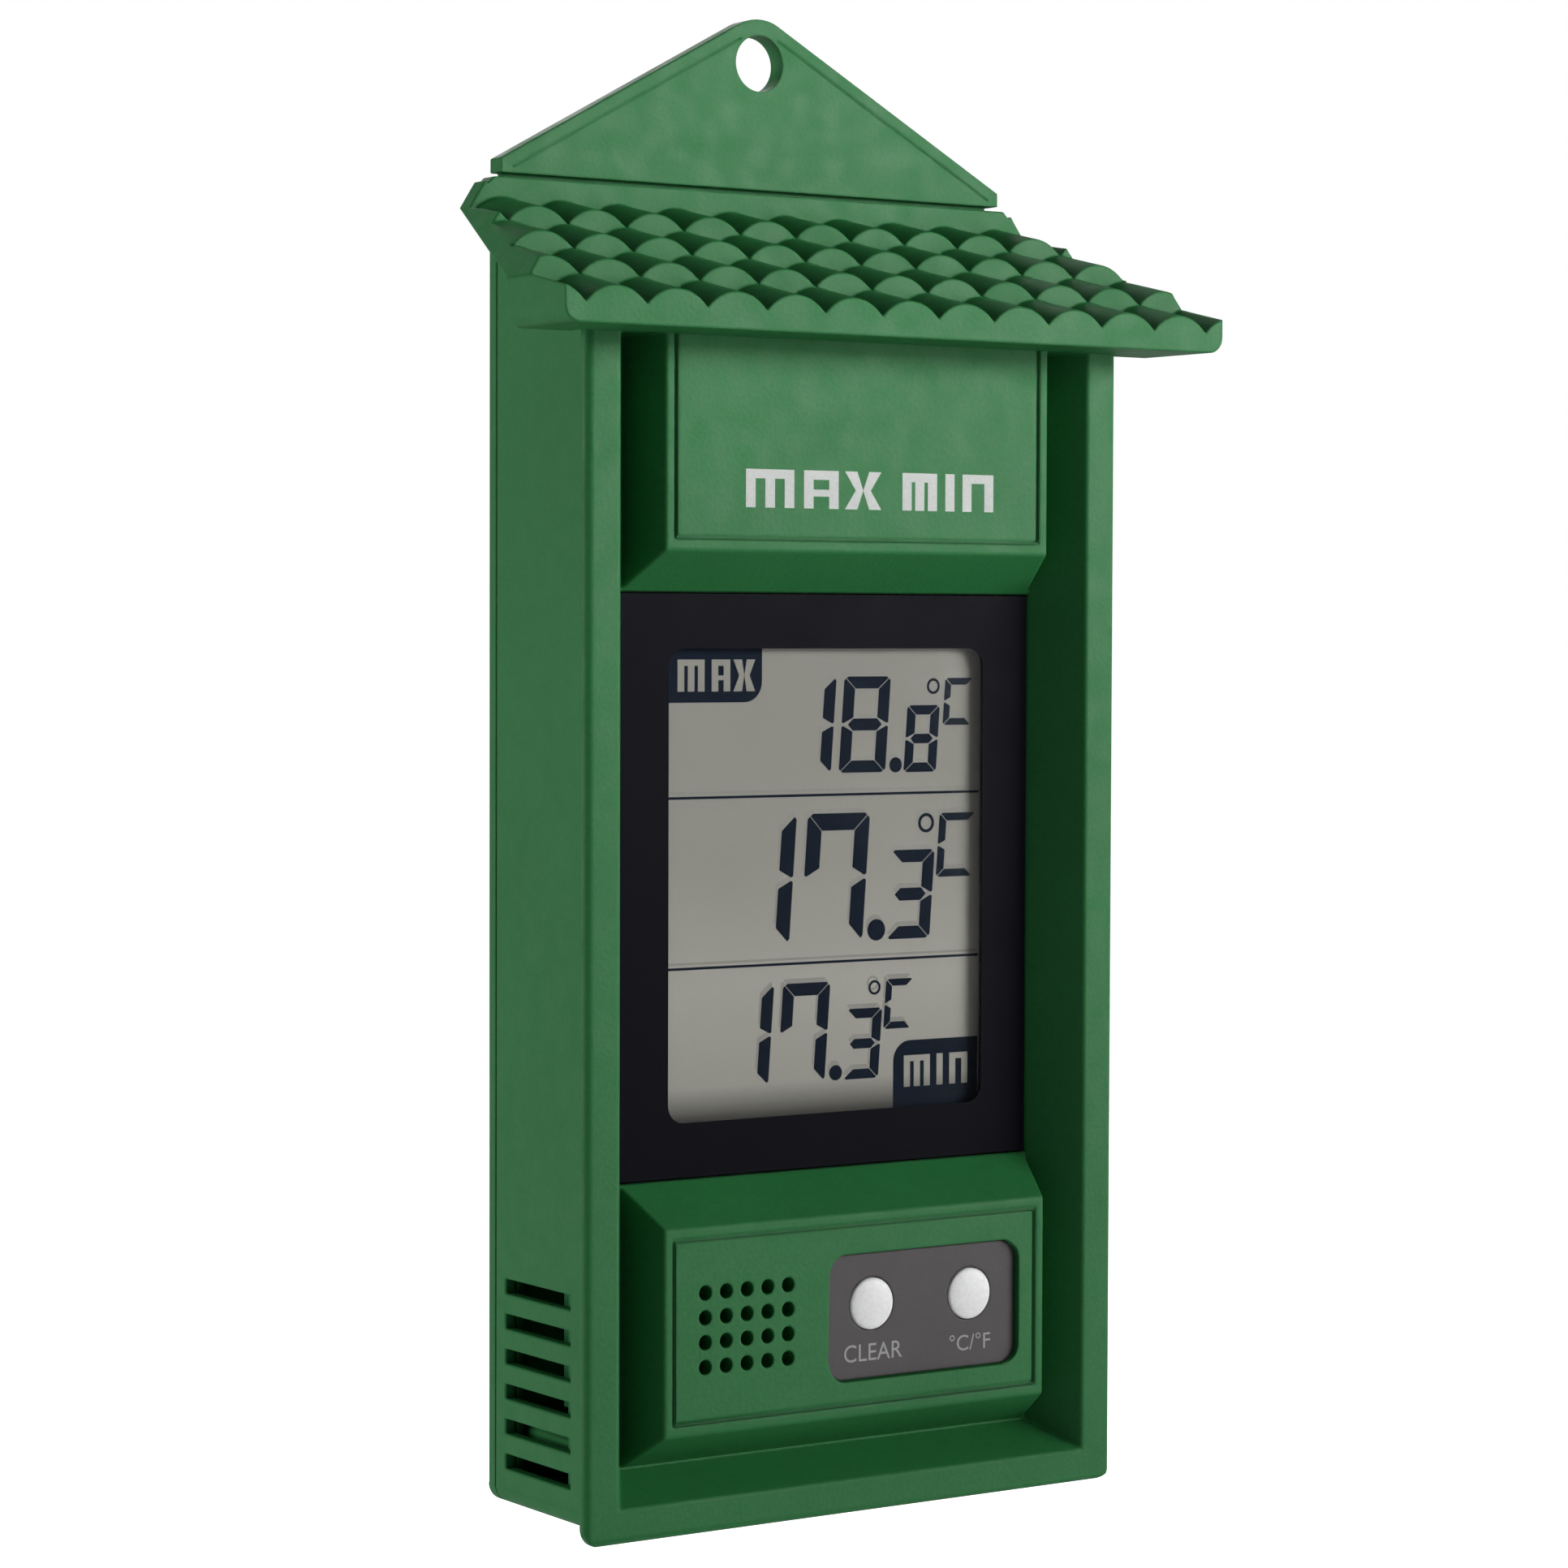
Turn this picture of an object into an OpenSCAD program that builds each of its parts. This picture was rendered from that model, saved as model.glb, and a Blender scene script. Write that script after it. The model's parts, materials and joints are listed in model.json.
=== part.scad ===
// Maximum and minimum thermometer with a tiled roof, for hanging on a wall.
// Millimetres. +Z is up, the front looks along -Y, and y = 0 is the back plane.
// The origin is the centre of the hanging hole, on the back plane. Heights in
// the values below are measured up from the foot of the case.

/* [Case] */
// Width of the front frame
frame_w = 99.2; // [90:0.2:125]
// Depth from the back plane to the front of the frame
case_d = 32.5; // [30:0.5:42]
// Height of the roof's eave above the foot
eave_z = 181; // [175:1:225]
// Thickness of the moulded walls
wall = 2; // [1.6:0.1:2.6]
// Step from the edge of the front frame in to the side wall
side_step = 2.2; // [1:0.1:3]
// Step from the foot of the front frame up to the floor of the shell
foot_step = 1.6; // [1:0.1:3]
// Thickness of the front frame's flange
flange_t = 1.6; // [1.2:0.1:3]
// Width of the rail around the front recess
rail_w = 5.9; // [4.5:0.1:9]
// Height of the sill below the front recess
sill_h = 5.4; // [4:0.1:9]
// How far the recess narrows on each side on its way back
recess_draft = 5.3; // [0.5:0.1:6]
// How far the sill rises on its way back
sill_rise = 4.2; // [1:0.1:5]
// Depth of the recess down to the window
recess_d = 8.8; // [6:0.1:11]
// Radius of the case's lower corners
corner_r = 3; // [1:0.5:5]

/* [Raised blocks] */
// Half the width of a block's front face
block_half_w = 35.7; // [32:0.1:40]
// How far a block's sides slope outwards on their way back
block_draft = 2.6; // [1:0.1:4]
// Height of a block's sloping edge
block_bevel = 6; // [3:0.1:8]
// Lower edge of the lower block's front face
low_block_z = 15.2; // [13:0.1:20]
// Height of the lower block's front face
low_block_h = 31.5; // [28:0.1:40]
// Height of the window between the two blocks
window_h = 90.1; // [85:0.1:110]
// Width of the engraved outline on the blocks
groove_w = 0.25; // [0.2:0.05:0.8]
// Distance of the engraved outline from a block's edge
groove_in = 1.7; // [1:0.1:3]

/* [Hanger] */
// Radius of the hanging hole
hang_r = 4.45; // [2.5:0.05:6]
// Thickness of the hanger
hanger_t = 3.4; // [2.6:0.1:5]
// Half the width of the hanger
hanger_half_w = 47.3; // [40:0.1:56]
// Height of the hanger's upright ends
hanger_side_h = 2.2; // [1:0.1:5]
// Rise of the hanger's slopes from its ends to their meeting point
hanger_rise = 25.9; // [20:0.1:34]
// Distance from the slopes' meeting point down to the hanging hole
hang_drop = 8.1; // [7:0.1:12]
// Radius of the rounded peak
peak_r = 8; // [4:0.5:10]
// Gap between the hanger and the roof's ridge
ridge_gap = 0.7; // [0.4:0.1:2]

/* [Roof] */
// Overhang of the roof beyond each side of the frame
roof_over = 11.3; // [4:0.1:16]
// Overhang of the roof in front of the frame
roof_front = 12.7; // [6:0.1:18]
// Height from the eave to the top of the ridge
roof_h = 25; // [22:0.5:34]
// Height of the ridge band's flat face
ridge_h = 3.1; // [2:0.1:5]
// Depth of the ridge band
ridge_t = 3.5; // [3.2:0.1:6]
// Number of whole tiles along the eave
tile_n = 11; // [7:2:15]
// Width of the narrow end tile beyond the last whole one
end_tile_w = 3.5; // [1:0.1:5]
// Number of rows of tiles
rows = 4; // [3:1:6]
// Height of a tile's curved face
tile_rise = 2.5; // [1.5:0.1:3]
// Fall of a tile along its length, in degrees
tile_tilt = 11.9; // [4:0.1:16]
// Depth of the boxed eave from front to back
eave_d = 16.9; // [13:0.1:20]
// Thickness of the roof below the tiles' gutters
roof_t = 3.4; // [2.6:0.1:5]

/* [Window and display] */
// Thickness of the clear window
lens_t = 1.5; // [1:0.1:2.5]
// Width of the clear opening in the black border
view_w = 59.2; // [50:0.1:62]
// Height of the clear opening in the black border
view_h = 72.5; // [60:0.1:76]
// Height of the clear opening's centre above the foot
view_z = 97.75; // [90:0.05:110]
// Width of the display glass
lcd_w = 66; // [60:0.5:68]
// Height of the display glass
lcd_h = 80; // [76:0.5:82]
// Thickness of the display glass
lcd_t = 2.8; // [2:0.1:3.4]
// Distance from the display glass to the circuit board
lcd_gap = 3.5; // [3:0.1:5]

/* [Buttons and vents] */
// Diameter of a button
button_d = 8.1; // [6:0.1:9]
// Travel of a button
button_travel = 0.8; // [0.4:0.1:1.2]
// Left button's distance from the middle
clear_x = 2.9; // [2:0.1:6]
// Right button's distance from the middle
unit_x = 21.7; // [18:0.1:24]
// Height of the buttons above the foot
button_z = 32.3; // [28:0.1:36]
// Width of the grey label plate
label_w = 36.1; // [32:0.1:38]
// Height of the grey label plate
label_h = 19.5; // [17:0.1:22]
// Thickness of the grey label plate
label_t = 0.8; // [0.5:0.1:1.5]
// How far the label plate is sunk into the block
label_sunk = 1; // [0.4:0.1:1.5]
// Diameter of a hole in the sensor grille
grille_d = 2.35; // [1.5:0.05:2.6]
// Distance between the holes of the sensor grille
grille_pitch = 3.77; // [3.2:0.01:4.4]
// Number of slots in each side vent
slot_n = 6; // [3:1:8]
// Height of a side slot
slot_h = 2.3; // [1.5:0.1:3.2]
// Distance between side slots
slot_pitch = 5.42; // [4.5:0.01:6]

/* [Battery and screws] */
// Diameter of the AAA cell
cell_d = 10.5; // [10:0.1:11]
// Length of the AAA cell
cell_l = 44.5; // [43.5:0.5:51]
// Distance from the circuit board's top edge up to the battery's centre
cell_rise = 17.7; // [15:0.1:21]
// Thickness of the rear cover
cover_t = 2; // [1.8:0.1:2.6]
// Thickness of the battery door
door_t = 1.8; // [1.4:0.1:1.8]
// Radius of the case screws' thread
screw_r = 1.1; // [0.9:0.05:1.5]
// Thickness of the circuit board
board_t = 1.6; // [1:0.1:2]

/* [Hidden] */
$fn = 48;
green = [0.16, 0.42, 0.22];
eps = 0.01;
fit = 0.2;              // clearance between pieces that slide together in assembly
seam = 0.25;            // open seam between two mouldings

// Case, from the front plane back
half_w = frame_w / 2;
front_y = -case_d;
flange_y = front_y + flange_t;
shell_half = half_w - side_step;
inner_half = shell_half - wall;
recess_half = half_w - rail_w;
lens_y = front_y + recess_d;
floor_half = recess_half - recess_draft;
cover_y = -cover_t;
shell_back = cover_y - seam;
floor_z = sill_h + sill_rise;
frame_skin = 1.5;       // thickness of the frame's inner walls and of the block's face

// Window stack behind the recess: the printed border is on the window's front
mask_t = 0.15;
tape_t = 0.2;
gasket_t = 0.4;
lens_front = lens_y + mask_t;
lens_back = lens_front + lens_t;
seat_y = lens_back + tape_t;
pan_t = 1.65;
pan_y = seat_y + pan_t;
view_r = 2.8;           // corner radius of the clear opening
low_top_z = low_block_z + low_block_h + block_bevel;
high_z = low_top_z + window_h;
lens_half = floor_half - fit / 2;
lcd_y = lens_back + gasket_t;
lcd_back = lcd_y + lcd_t;
film_t = 0.25;
board_y = lcd_back + lcd_gap;
board_back = board_y + board_t;
hole_edge = 0.5;        // room around the display glass in the frame
zebra_w = lcd_w - 6;
zebra_h = 2;
zebra_in = 2.2;         // from the display's edge in to the middle of a strip

// Roof: the side outline slopes in from the eave to the ridge
roof_half = half_w + roof_over;
roof_front_y = front_y - roof_front;
ridge_z = eave_z + roof_h;
ridge_half = shell_half + 2.2;
hip_z = eave_z + 7.2;
tile_w = 2 * (roof_half - end_tile_w) / tile_n;
tile_r = (pow(tile_w / 2, 2) + pow(tile_rise, 2)) / (2 * tile_rise);
row_l = (-roof_front_y - ridge_t) / rows;
eave_crown = eave_z + 5.6;
ridge_crown = ridge_z - ridge_h;
tile_fall = row_l * tan(tile_tilt);
row_drop = (ridge_crown - tile_fall - eave_crown) / (rows - 1);
under_slope = row_drop / row_l;
eave_back = roof_front_y + eave_d;
under_z = ridge_crown - tile_rise + under_slope * ridge_t - roof_t + 2.5;

// Sideways shift of a row of tiles, in tiles: every second row is staggered
function row_shift(i) = (rows - 1 - i) % 2 == 0 ? 0 : 0.5;

// Height of the roof's underside at depth y
function under(y) = under_z + under_slope * y;

roof_fit = 0.3;
roof_tilt = atan(under_slope);
frame_top = under(front_y) - roof_fit;
pan_top = under(flange_y) - roof_fit - wall - fit;
recess_top = eave_z + 0.2;

// Hanger, above the roof's ridge
hanger_z = ridge_z + ridge_gap;
slope_z = hanger_z + hanger_side_h;
peak_z = slope_z + hanger_rise;
hang_z = peak_z - hang_drop;
peak_slope = atan(hanger_rise / hanger_half_w);
neck_half = hanger_half_w - 1.3;
neck_t = 1.6;
cover_top = under(0) - cover_t * under_slope - roof_fit;
cover_half = shell_half;

// Buttons
label_x = 12.6;
label_z = 30.5;
label_r = 3;
label_y = front_y + label_sunk;
label_back = label_y + label_t;
key_wall = 1.5;
key_y = label_back + key_wall;
button_fit = 0.15;
button_front = front_y + 0.4;
button_dome = 0.35;
collar_r = button_d / 2 + 1.2;
collar_t = 1;
dome_h = 0.5;
stem_end = board_y - dome_h - button_travel - 0.1;
stem_r = 1.8;

// Sensor grille and side vents
grille_x = -28.4;
grille_z = 25.4;
grille_cols = 5;
grille_rows = 4;
slot_top = 36.9;
slot_front = front_y + 8.1;
slot_back = -5;

// Circuit board, behind the window and the lower block
board_half = 42;
board_z0 = 18;
board_z1 = high_z - 0.5;

// Battery bay: the cell lies across the back, above the board
door_sunk = 0.1;
door_ledge = door_t + door_sunk + 0.1;
cell_y = -door_ledge - 1.05 - cell_d / 2;
cell_z = board_z1 + cell_rise;
bay_fit = 0.6;
contact_t = 0.4;
spring_l = 2.6;
bay_wall = 1.2;
spring_x = -cell_l / 2 - spring_l - contact_t;
contact_x = cell_l / 2 + 0.05;
bay_x0 = spring_x - 0.3;
bay_x1 = contact_x + contact_t + 0.2;
bay_h = cell_d / 2 + 0.75;
bay_y = cell_y - cell_d / 2 - bay_fit;
bay_cx = (bay_x0 + bay_x1) / 2;
door_lip = 2.6;
door_fit = 0.25;
door_half_w = (bay_x1 - bay_x0) / 2 + door_lip;
door_z0 = cell_z - bay_h - door_lip - 0.4;
door_z1 = cell_z + bay_h + door_lip;
pivot_y = -door_sunk - door_t / 2;
pivot_z = door_z0 + door_t / 2;
toe_x = 15;
toe_w = 6;
toe_l = 2.7;
toe_t = 1.1;
bay_pad = 4;

// Screws: positions are [x, z]
case_screws_at = [for (x = [-1, 1], z = [12.5, 172]) [x * (inner_half - 4.9), z]];
board_screws_at = [for (x = [-1, 1], z = [57, 132]) [x * (board_half - 2.6), z]];
roof_screws_at = [for (s = [-1, 1]) s * (2 + row_shift(1)) * tile_w];
roof_screw_y = -ridge_t - 1.7 * row_l;
post_r = 3;
head_r = 2.3;
head_t = 1.1;
thread_gap = 0.05;

// --- Shared shapes ---

// Moves what is measured from the foot to the part's own origin
module from_foot() {
    translate([0, 0, -hang_z]) children();
}

// Box between two corners
module box(x0, x1, y0, y1, z0, z1) {
    translate([x0, y0, z0]) cube([x1 - x0, y1 - y0, z1 - z0]);
}

// Extrudes an outline drawn in x and z from depth y1 forward to depth y0
module face_on(y0, y1) {
    translate([0, y1, 0]) rotate([90, 0, 0]) linear_extrude(y1 - y0) children();
}

// Extrudes an outline drawn in y and z to half_x on both sides
module side_on(half_x) {
    rotate([90, 0, 90]) linear_extrude(2 * half_x, center = true) children();
}

// Round bar along y
module bar(x, z, r, y0, y1) {
    translate([x, y1, z]) rotate([90, 0, 0]) cylinder(h = y1 - y0, r = r);
}

// Rectangle with round corners, centred
module round_rect(w, h, r) {
    square([w - 2 * r, h], center = true);
    square([w, h - 2 * r], center = true);
    for (x = [-1, 1], z = [-1, 1]) translate([x * (w / 2 - r), z * (h / 2 - r)]) circle(r);
}

// Rectangle whose two lower corners are round, standing on z0
module round_foot(half_x, z0, z1, r) {
    translate([-half_x, z0 + r]) square([2 * half_x, z1 - z0 - r]);
    translate([r - half_x, z0]) square([2 * (half_x - r), r + eps]);
    for (x = [-1, 1]) translate([x * (half_x - r), z0 + r]) circle(r);
}

// Low dome of base radius r and height h on the plane z = 0
module dome(r, h) {
    sphere_r = (r * r + h * h) / (2 * h);
    rotate_extrude() intersection() {
        translate([0, h - sphere_r]) circle(sphere_r, $fn = 240);
        square([r, h]);
    }
}

// Rectangular ring, centred
module ring(w, h, w_in, h_in) {
    difference() {
        square([w, h], center = true);
        square([w_in, h_in], center = true);
    }
}

// --- Case mouldings ---

// Flange with its front edges rounded
module flange() {
    r = flange_t - 0.2;
    intersection() {
        face_on(front_y, flange_y) round_foot(half_w, 0, frame_top, corner_r);
        translate([0, 0, -1]) linear_extrude(frame_top + 2) {
            translate([r - half_w, front_y]) square([2 * (half_w - r), flange_t]);
            translate([-half_w, front_y + r]) square([frame_w, flange_t - r]);
            for (x = [-1, 1]) translate([x * (half_w - r), front_y + r]) circle(r);
        }
        side_on(half_w + 1) {
            translate([front_y, r]) square([flange_t, frame_top]);
            translate([front_y + r, 0]) square([flange_t - r, r + eps]);
            translate([front_y + r, r]) circle(r);
        }
    }
}

// Recess that narrows towards the window
module recess() {
    out = 1;
    grow = recess_draft / recess_d * out;
    rise = sill_rise / recess_d * out;
    intersection() {
        linear_extrude(recess_top) polygon([
            [-recess_half - grow, front_y - out], [recess_half + grow, front_y - out],
            [floor_half, lens_y], [-floor_half, lens_y]]);
        side_on(half_w) polygon([[front_y - out, sill_h - rise], [lens_y, floor_z],
            [lens_y, recess_top], [front_y - out, recess_top]]);
    }
}

// Raised block: z0 and z1 are its front face, e0 and e1 the slopes at its ends
module block(z0, z1, e0, e1) {
    intersection() {
        translate([0, 0, z0 - e0]) linear_extrude(z1 - z0 + e0 + e1) polygon([
            [-block_half_w, front_y], [block_half_w, front_y],
            [block_half_w + block_draft, lens_y + eps], [-block_half_w - block_draft, lens_y + eps]]);
        side_on(half_w) polygon([[front_y, z0], [lens_y + eps, z0 - e0],
            [lens_y + eps, z1 + e1], [front_y, z1]]);
    }
}

// Fine outline engraved in a block's face
module groove(z0, z1) {
    half = block_half_w - groove_in;
    face_on(front_y - 1, front_y + groove_w) translate([0, (z0 + z1) / 2])
        ring(2 * half, z1 - z0, 2 * (half - groove_w), z1 - z0 - 2 * groove_w);
}

module front_frame() color(green) from_foot() {
    pan_half = inner_half - fit;
    pan_z0 = foot_step + wall + fit;
    block_in = block_half_w - frame_skin;
    difference() {
        union() {
            difference() {
                union() {
                    flange();
                    face_on(flange_y - eps, pan_y) round_foot(pan_half, pan_z0, pan_top, corner_r - 1);
                }
                recess();
            }
            block(low_block_z, low_block_z + low_block_h, low_block_z - floor_z, block_bevel);
            block(high_z + block_bevel, recess_top + eps, block_bevel, 0);
            for (at = case_screws_at) bar(at[0], at[1], post_r, pan_y - eps, cover_y - wall - seam);
            for (at = board_screws_at) bar(at[0], at[1], 2.3, pan_y - eps, board_y);
        }
        // Seat of the window, and the opening that the display glass stands in
        box(-lens_half - fit / 2, lens_half + fit / 2, lens_y - eps, seat_y, low_top_z, high_z);
        face_on(seat_y - 1, pan_y + 1) translate([0, view_z])
            square([lcd_w + 2 * hole_edge, lcd_h + 2 * hole_edge], center = true);
        // Hollows behind the two blocks
        box(-block_in, block_in, key_y, pan_y + eps, low_block_z + 0.3, low_top_z - block_bevel - 1);
        box(-block_in, block_in, front_y + frame_skin, pan_y + eps, high_z + block_bevel + 1,
            recess_top - 1);
        // Engraved outlines
        groove(low_block_z + groove_in, low_block_z + low_block_h - groove_in);
        groove(high_z + block_bevel + groove_in, recess_top + 3);
        // Sensor grille
        for (c = [0 : grille_cols - 1], r = [0 : grille_rows - 1])
            bar(grille_x + c * grille_pitch, grille_z + r * grille_pitch, grille_d / 2,
                front_y - 1, key_y + 1);
        // Pocket for the label plate, with the two buttons' holes through its floor
        face_on(front_y - 1, label_back) translate([label_x, label_z])
            round_rect(label_w + 2 * fit, label_h + 2 * fit, label_r + fit);
        for (x = [clear_x, unit_x])
            bar(x, button_z, button_d / 2 + button_fit, front_y - 1, key_y + 1);
        // Pilot holes
        for (at = case_screws_at)
            bar(at[0], at[1], screw_r + thread_gap, cover_y - wall - seam - 10, 0);
        for (at = board_screws_at) bar(at[0], at[1], 0.85, pan_y, board_y + 1);
    }
}

// Outline of the shell seen from the side, with its top below the roof by gap
module shell_side(y0, y1, z0, gap) {
    polygon([[y0, z0], [y1, z0], [y1, under(y1) - gap], [y0, under(y0) - gap]]);
}

module case_shell() color(green) from_foot() {
    difference() {
        intersection() {
            face_on(flange_y, shell_back) round_foot(shell_half, foot_step, ridge_z, corner_r);
            side_on(half_w) shell_side(flange_y, shell_back, foot_step, roof_fit);
        }
        intersection() {
            face_on(flange_y - 1, shell_back + 1)
                round_foot(inner_half, foot_step + wall, ridge_z, corner_r - 1);
            side_on(half_w) shell_side(flange_y - 1, shell_back + 1, 0, roof_fit + wall);
        }
        for (i = [0 : slot_n - 1], s = [-1, 1])
            translate([s * shell_half, (slot_front + slot_back) / 2,
                    slot_top - slot_h / 2 - i * slot_pitch])
                cube([3 * wall, slot_back - slot_front, slot_h], center = true);
        for (x = roof_screws_at) roof_screw_line(x, -8, 1, screw_r + thread_gap);
    }
}

// Bar along a roof screw, from distance a to distance b above the roof's underside
module roof_screw_line(x, a, b, r) {
    translate([x, roof_screw_y, under(roof_screw_y)]) rotate([roof_tilt, 0, 0])
        translate([0, 0, a]) cylinder(h = b - a, r = r);
}

// --- Rear cover and hanger ---

// Hanger's outline: upright ends, two slopes and a round peak
module hanger_outline() {
    drop = peak_r / cos(peak_slope);
    touch_x = peak_r * sin(peak_slope);
    touch_z = peak_z - drop + peak_r * cos(peak_slope);
    polygon([[-hanger_half_w, hanger_z], [hanger_half_w, hanger_z], [hanger_half_w, slope_z],
        [touch_x, touch_z], [0, peak_z - drop], [-touch_x, touch_z], [-hanger_half_w, slope_z]]);
    translate([0, peak_z - drop]) circle(peak_r);
}

// Engraved line a little inside the hanger's two slopes
module hanger_line() {
    in = 2.2;
    end_gap = 2.5;
    peak_gap = 4;
    slope_l = hanger_half_w / cos(peak_slope);
    base = slope_z - in / cos(peak_slope);
    for (s = [-1, 1]) translate([s * hanger_half_w, base]) rotate([0, 0, s * -peak_slope])
        translate([s > 0 ? peak_gap - slope_l : end_gap, 0])
            square([slope_l - end_gap - peak_gap, groove_w]);
}

module rear_cover() color(green) from_foot() {
    difference() {
        union() {
            face_on(cover_y, 0) round_foot(cover_half, foot_step, cover_top, corner_r);
            // Lip that locates the cover inside the shell
            difference() {
                face_on(cover_y - 3, cover_y + eps)
                    round_foot(inner_half - fit, foot_step + wall + fit, 185, corner_r - 1);
                face_on(cover_y - 4, cover_y + 1)
                    round_foot(inner_half - fit - 1.2, foot_step + wall + fit + 1.2, 183.8, 1);
            }
            for (at = case_screws_at) bar(at[0], at[1], 4, cover_y - wall, cover_y + eps);
            // Neck behind the ridge band, and the hanger above it
            box(-neck_half, neck_half, -neck_t, 0, cover_top - 1, hanger_z + 1);
            face_on(-hanger_t, 0) hanger_outline();
            // Thick pad and the tub of the battery bay
            box(bay_cx - door_half_w - 1.5, bay_cx + door_half_w + 1.5, -bay_pad, cover_y + eps,
                door_z0 - 2.5, door_z1 + 1.5);
            box(bay_x0 - bay_wall, bay_x1 + bay_wall, bay_y - bay_wall, cover_y + eps,
                cell_z - bay_h - bay_wall, cell_z + bay_h + bay_wall);
        }
        bar(0, hang_z, hang_r, -hanger_t - 1, 1);
        face_on(-hanger_t - 1, -hanger_t + 0.25) hanger_line();
        // Battery bay, the door's recess, its toe slots and its finger notch
        box(bay_x0, bay_x1, bay_y, 1, cell_z - bay_h, cell_z + bay_h);
        box(bay_cx - door_half_w, bay_cx + door_half_w, -door_ledge, 1, door_z0 - door_fit, door_z1);
        for (s = [-1, 1])
            box(bay_cx + s * toe_x - toe_w / 2 - 0.4, bay_cx + s * toe_x + toe_w / 2 + 0.4,
                -bay_pad - 2, -door_ledge + eps, door_z0 - 2.2, cell_z - bay_h + 0.1);
        bar(bay_cx, door_z1, 5, -1.2, 1);
        // Slots that let the contacts' tails out
        for (x = [spring_x, contact_x])
            box(x - 0.1, x + contact_t + 0.1, bay_y - bay_wall - 1, bay_y + 1, cell_z - 2, cell_z + 2);
        for (at = case_screws_at) {
            bar(at[0], at[1], screw_r + 0.3, cover_y - wall - 1, 1);
            bar(at[0], at[1], head_r + 0.3, -head_t - 0.3, 1);
        }
    }
}

module battery_door() color(green) from_foot() {
    half = door_half_w - door_fit;
    top = door_z1 - door_fit;
    box(bay_cx - half, bay_cx + half, -door_sunk - door_t, -door_sunk, pivot_z, top);
    translate([bay_cx - half, pivot_y, pivot_z]) rotate([0, 90, 0]) cylinder(h = 2 * half, r = door_t / 2);
    // Toes that hook behind the cover below the door
    for (s = [-1, 1]) {
        x0 = bay_cx + s * toe_x - toe_w / 2;
        toe_y = -door_ledge - 0.2 - toe_t;
        box(x0, x0 + toe_w, toe_y, pivot_y, pivot_z - 0.6, pivot_z + 0.6);
        box(x0, x0 + toe_w, toe_y, toe_y + toe_t, pivot_z - toe_l, pivot_z + 0.6);
    }
    // Grip ribs beside the finger notch
    for (i = [0 : 3])
        box(bay_cx - 5, bay_cx + 5, -door_sunk - eps, -door_sunk + 0.08, top - 2 - i * 1.2,
            top - 1.5 - i * 1.2);
}

// --- Roof ---

// Outline of the roof seen from the front: upright eave ends, sloping verges
module roof_front_outline() {
    r = 2.5;
    difference() {
        union() {
            polygon([[-roof_half, eave_z + r], [roof_half, eave_z + r], [roof_half, hip_z],
                [ridge_half, ridge_z], [-ridge_half, ridge_z], [-roof_half, hip_z]]);
            translate([r - roof_half, eave_z]) square([2 * (roof_half - r), r + eps]);
            for (s = [-1, 1]) translate([s * (roof_half - r), eave_z + r]) circle(r);
        }
        // Small flat on each end of the ridge
        for (s = [-1, 1]) translate([s * ridge_half, ridge_z]) rotate(45) square(1.6, center = true);
    }
}

// One row of barrel tiles
module tile_row(i) {
    y_back = -ridge_t - i * row_l;
    crown = ridge_crown - i * row_drop;
    n = (tile_n + 1) / 2;
    over = 3;
    intersection() {
        translate([0, y_back + over * cos(tile_tilt), crown + over * sin(tile_tilt)])
            rotate([90 + tile_tilt, 0, 0]) linear_extrude(row_l + 2 * over) {
                for (k = [-n : n]) translate([(k + row_shift(i)) * tile_w, -tile_r]) circle(tile_r);
                translate([-roof_half - 2, -30]) square([2 * roof_half + 4, 30 - tile_rise]);
            }
        box(-roof_half - 1, roof_half + 1, y_back - row_l, y_back + (i == 0 ? ridge_t : eps),
            eave_z - 1, ridge_z);
    }
}

module tiled_roof() color(green) from_foot() {
    difference() {
        intersection() {
            face_on(roof_front_y, 0) roof_front_outline();
            union() {
                for (i = [0 : rows - 1]) tile_row(i);
                box(-roof_half, roof_half, -ridge_t, 0, eave_z, ridge_z);
            }
        }
        // Open space below the sloping slab, behind the boxed eave
        side_on(roof_half + 1) polygon([[1, eave_z - 5], [1, under(1)], [eave_back, under(eave_back)],
            [eave_back, eave_z - 5]]);
        // Room for the top of the case inside the eave
        side_on(half_w + roof_fit) polygon([[eave_back + 1, eave_z - 5],
            [eave_back + 1, under(eave_back + 1)], [front_y - roof_fit, under(front_y - roof_fit)],
            [front_y - roof_fit, eave_z - 5]]);
        // Pocket for the hanger's neck
        box(-neck_half - fit, neck_half + fit, -neck_t - fit, 1, under(0) - 5, ridge_z + 1);
        for (x = roof_screws_at) roof_screw_line(x, -1, 2.8, screw_r + thread_gap);
    }
}

// --- Window and display ---

module window_lens() color([0.85, 0.9, 0.9, 0.3]) from_foot() {
    box(-lens_half, lens_half, lens_front, lens_back, low_top_z + fit / 2, high_z - fit / 2);
}

// Black border printed on the window's front, with its clear opening
module window_mask() color([0.05, 0.05, 0.06]) from_foot() {
    mid = (low_top_z + high_z) / 2;
    face_on(lens_y, lens_front) difference() {
        translate([0, mid]) square([2 * lens_half, window_h - fit], center = true);
        translate([0, view_z]) round_rect(view_w, view_h, view_r);
    }
}

module lens_tape() color("white") from_foot() {
    mid = (low_top_z + high_z) / 2;
    face_on(lens_back, seat_y) difference() {
        translate([0, mid]) square([2 * lens_half, window_h - fit], center = true);
        translate([0, view_z]) square([lcd_w + 2 * hole_edge, lcd_h + 2 * hole_edge], center = true);
    }
}

module display_gasket() color([0.1, 0.1, 0.1]) from_foot() {
    face_on(lens_back, lcd_y) translate([0, view_z])
        ring(lcd_w, lcd_h, view_w + 2, view_h + 2);
}

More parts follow.
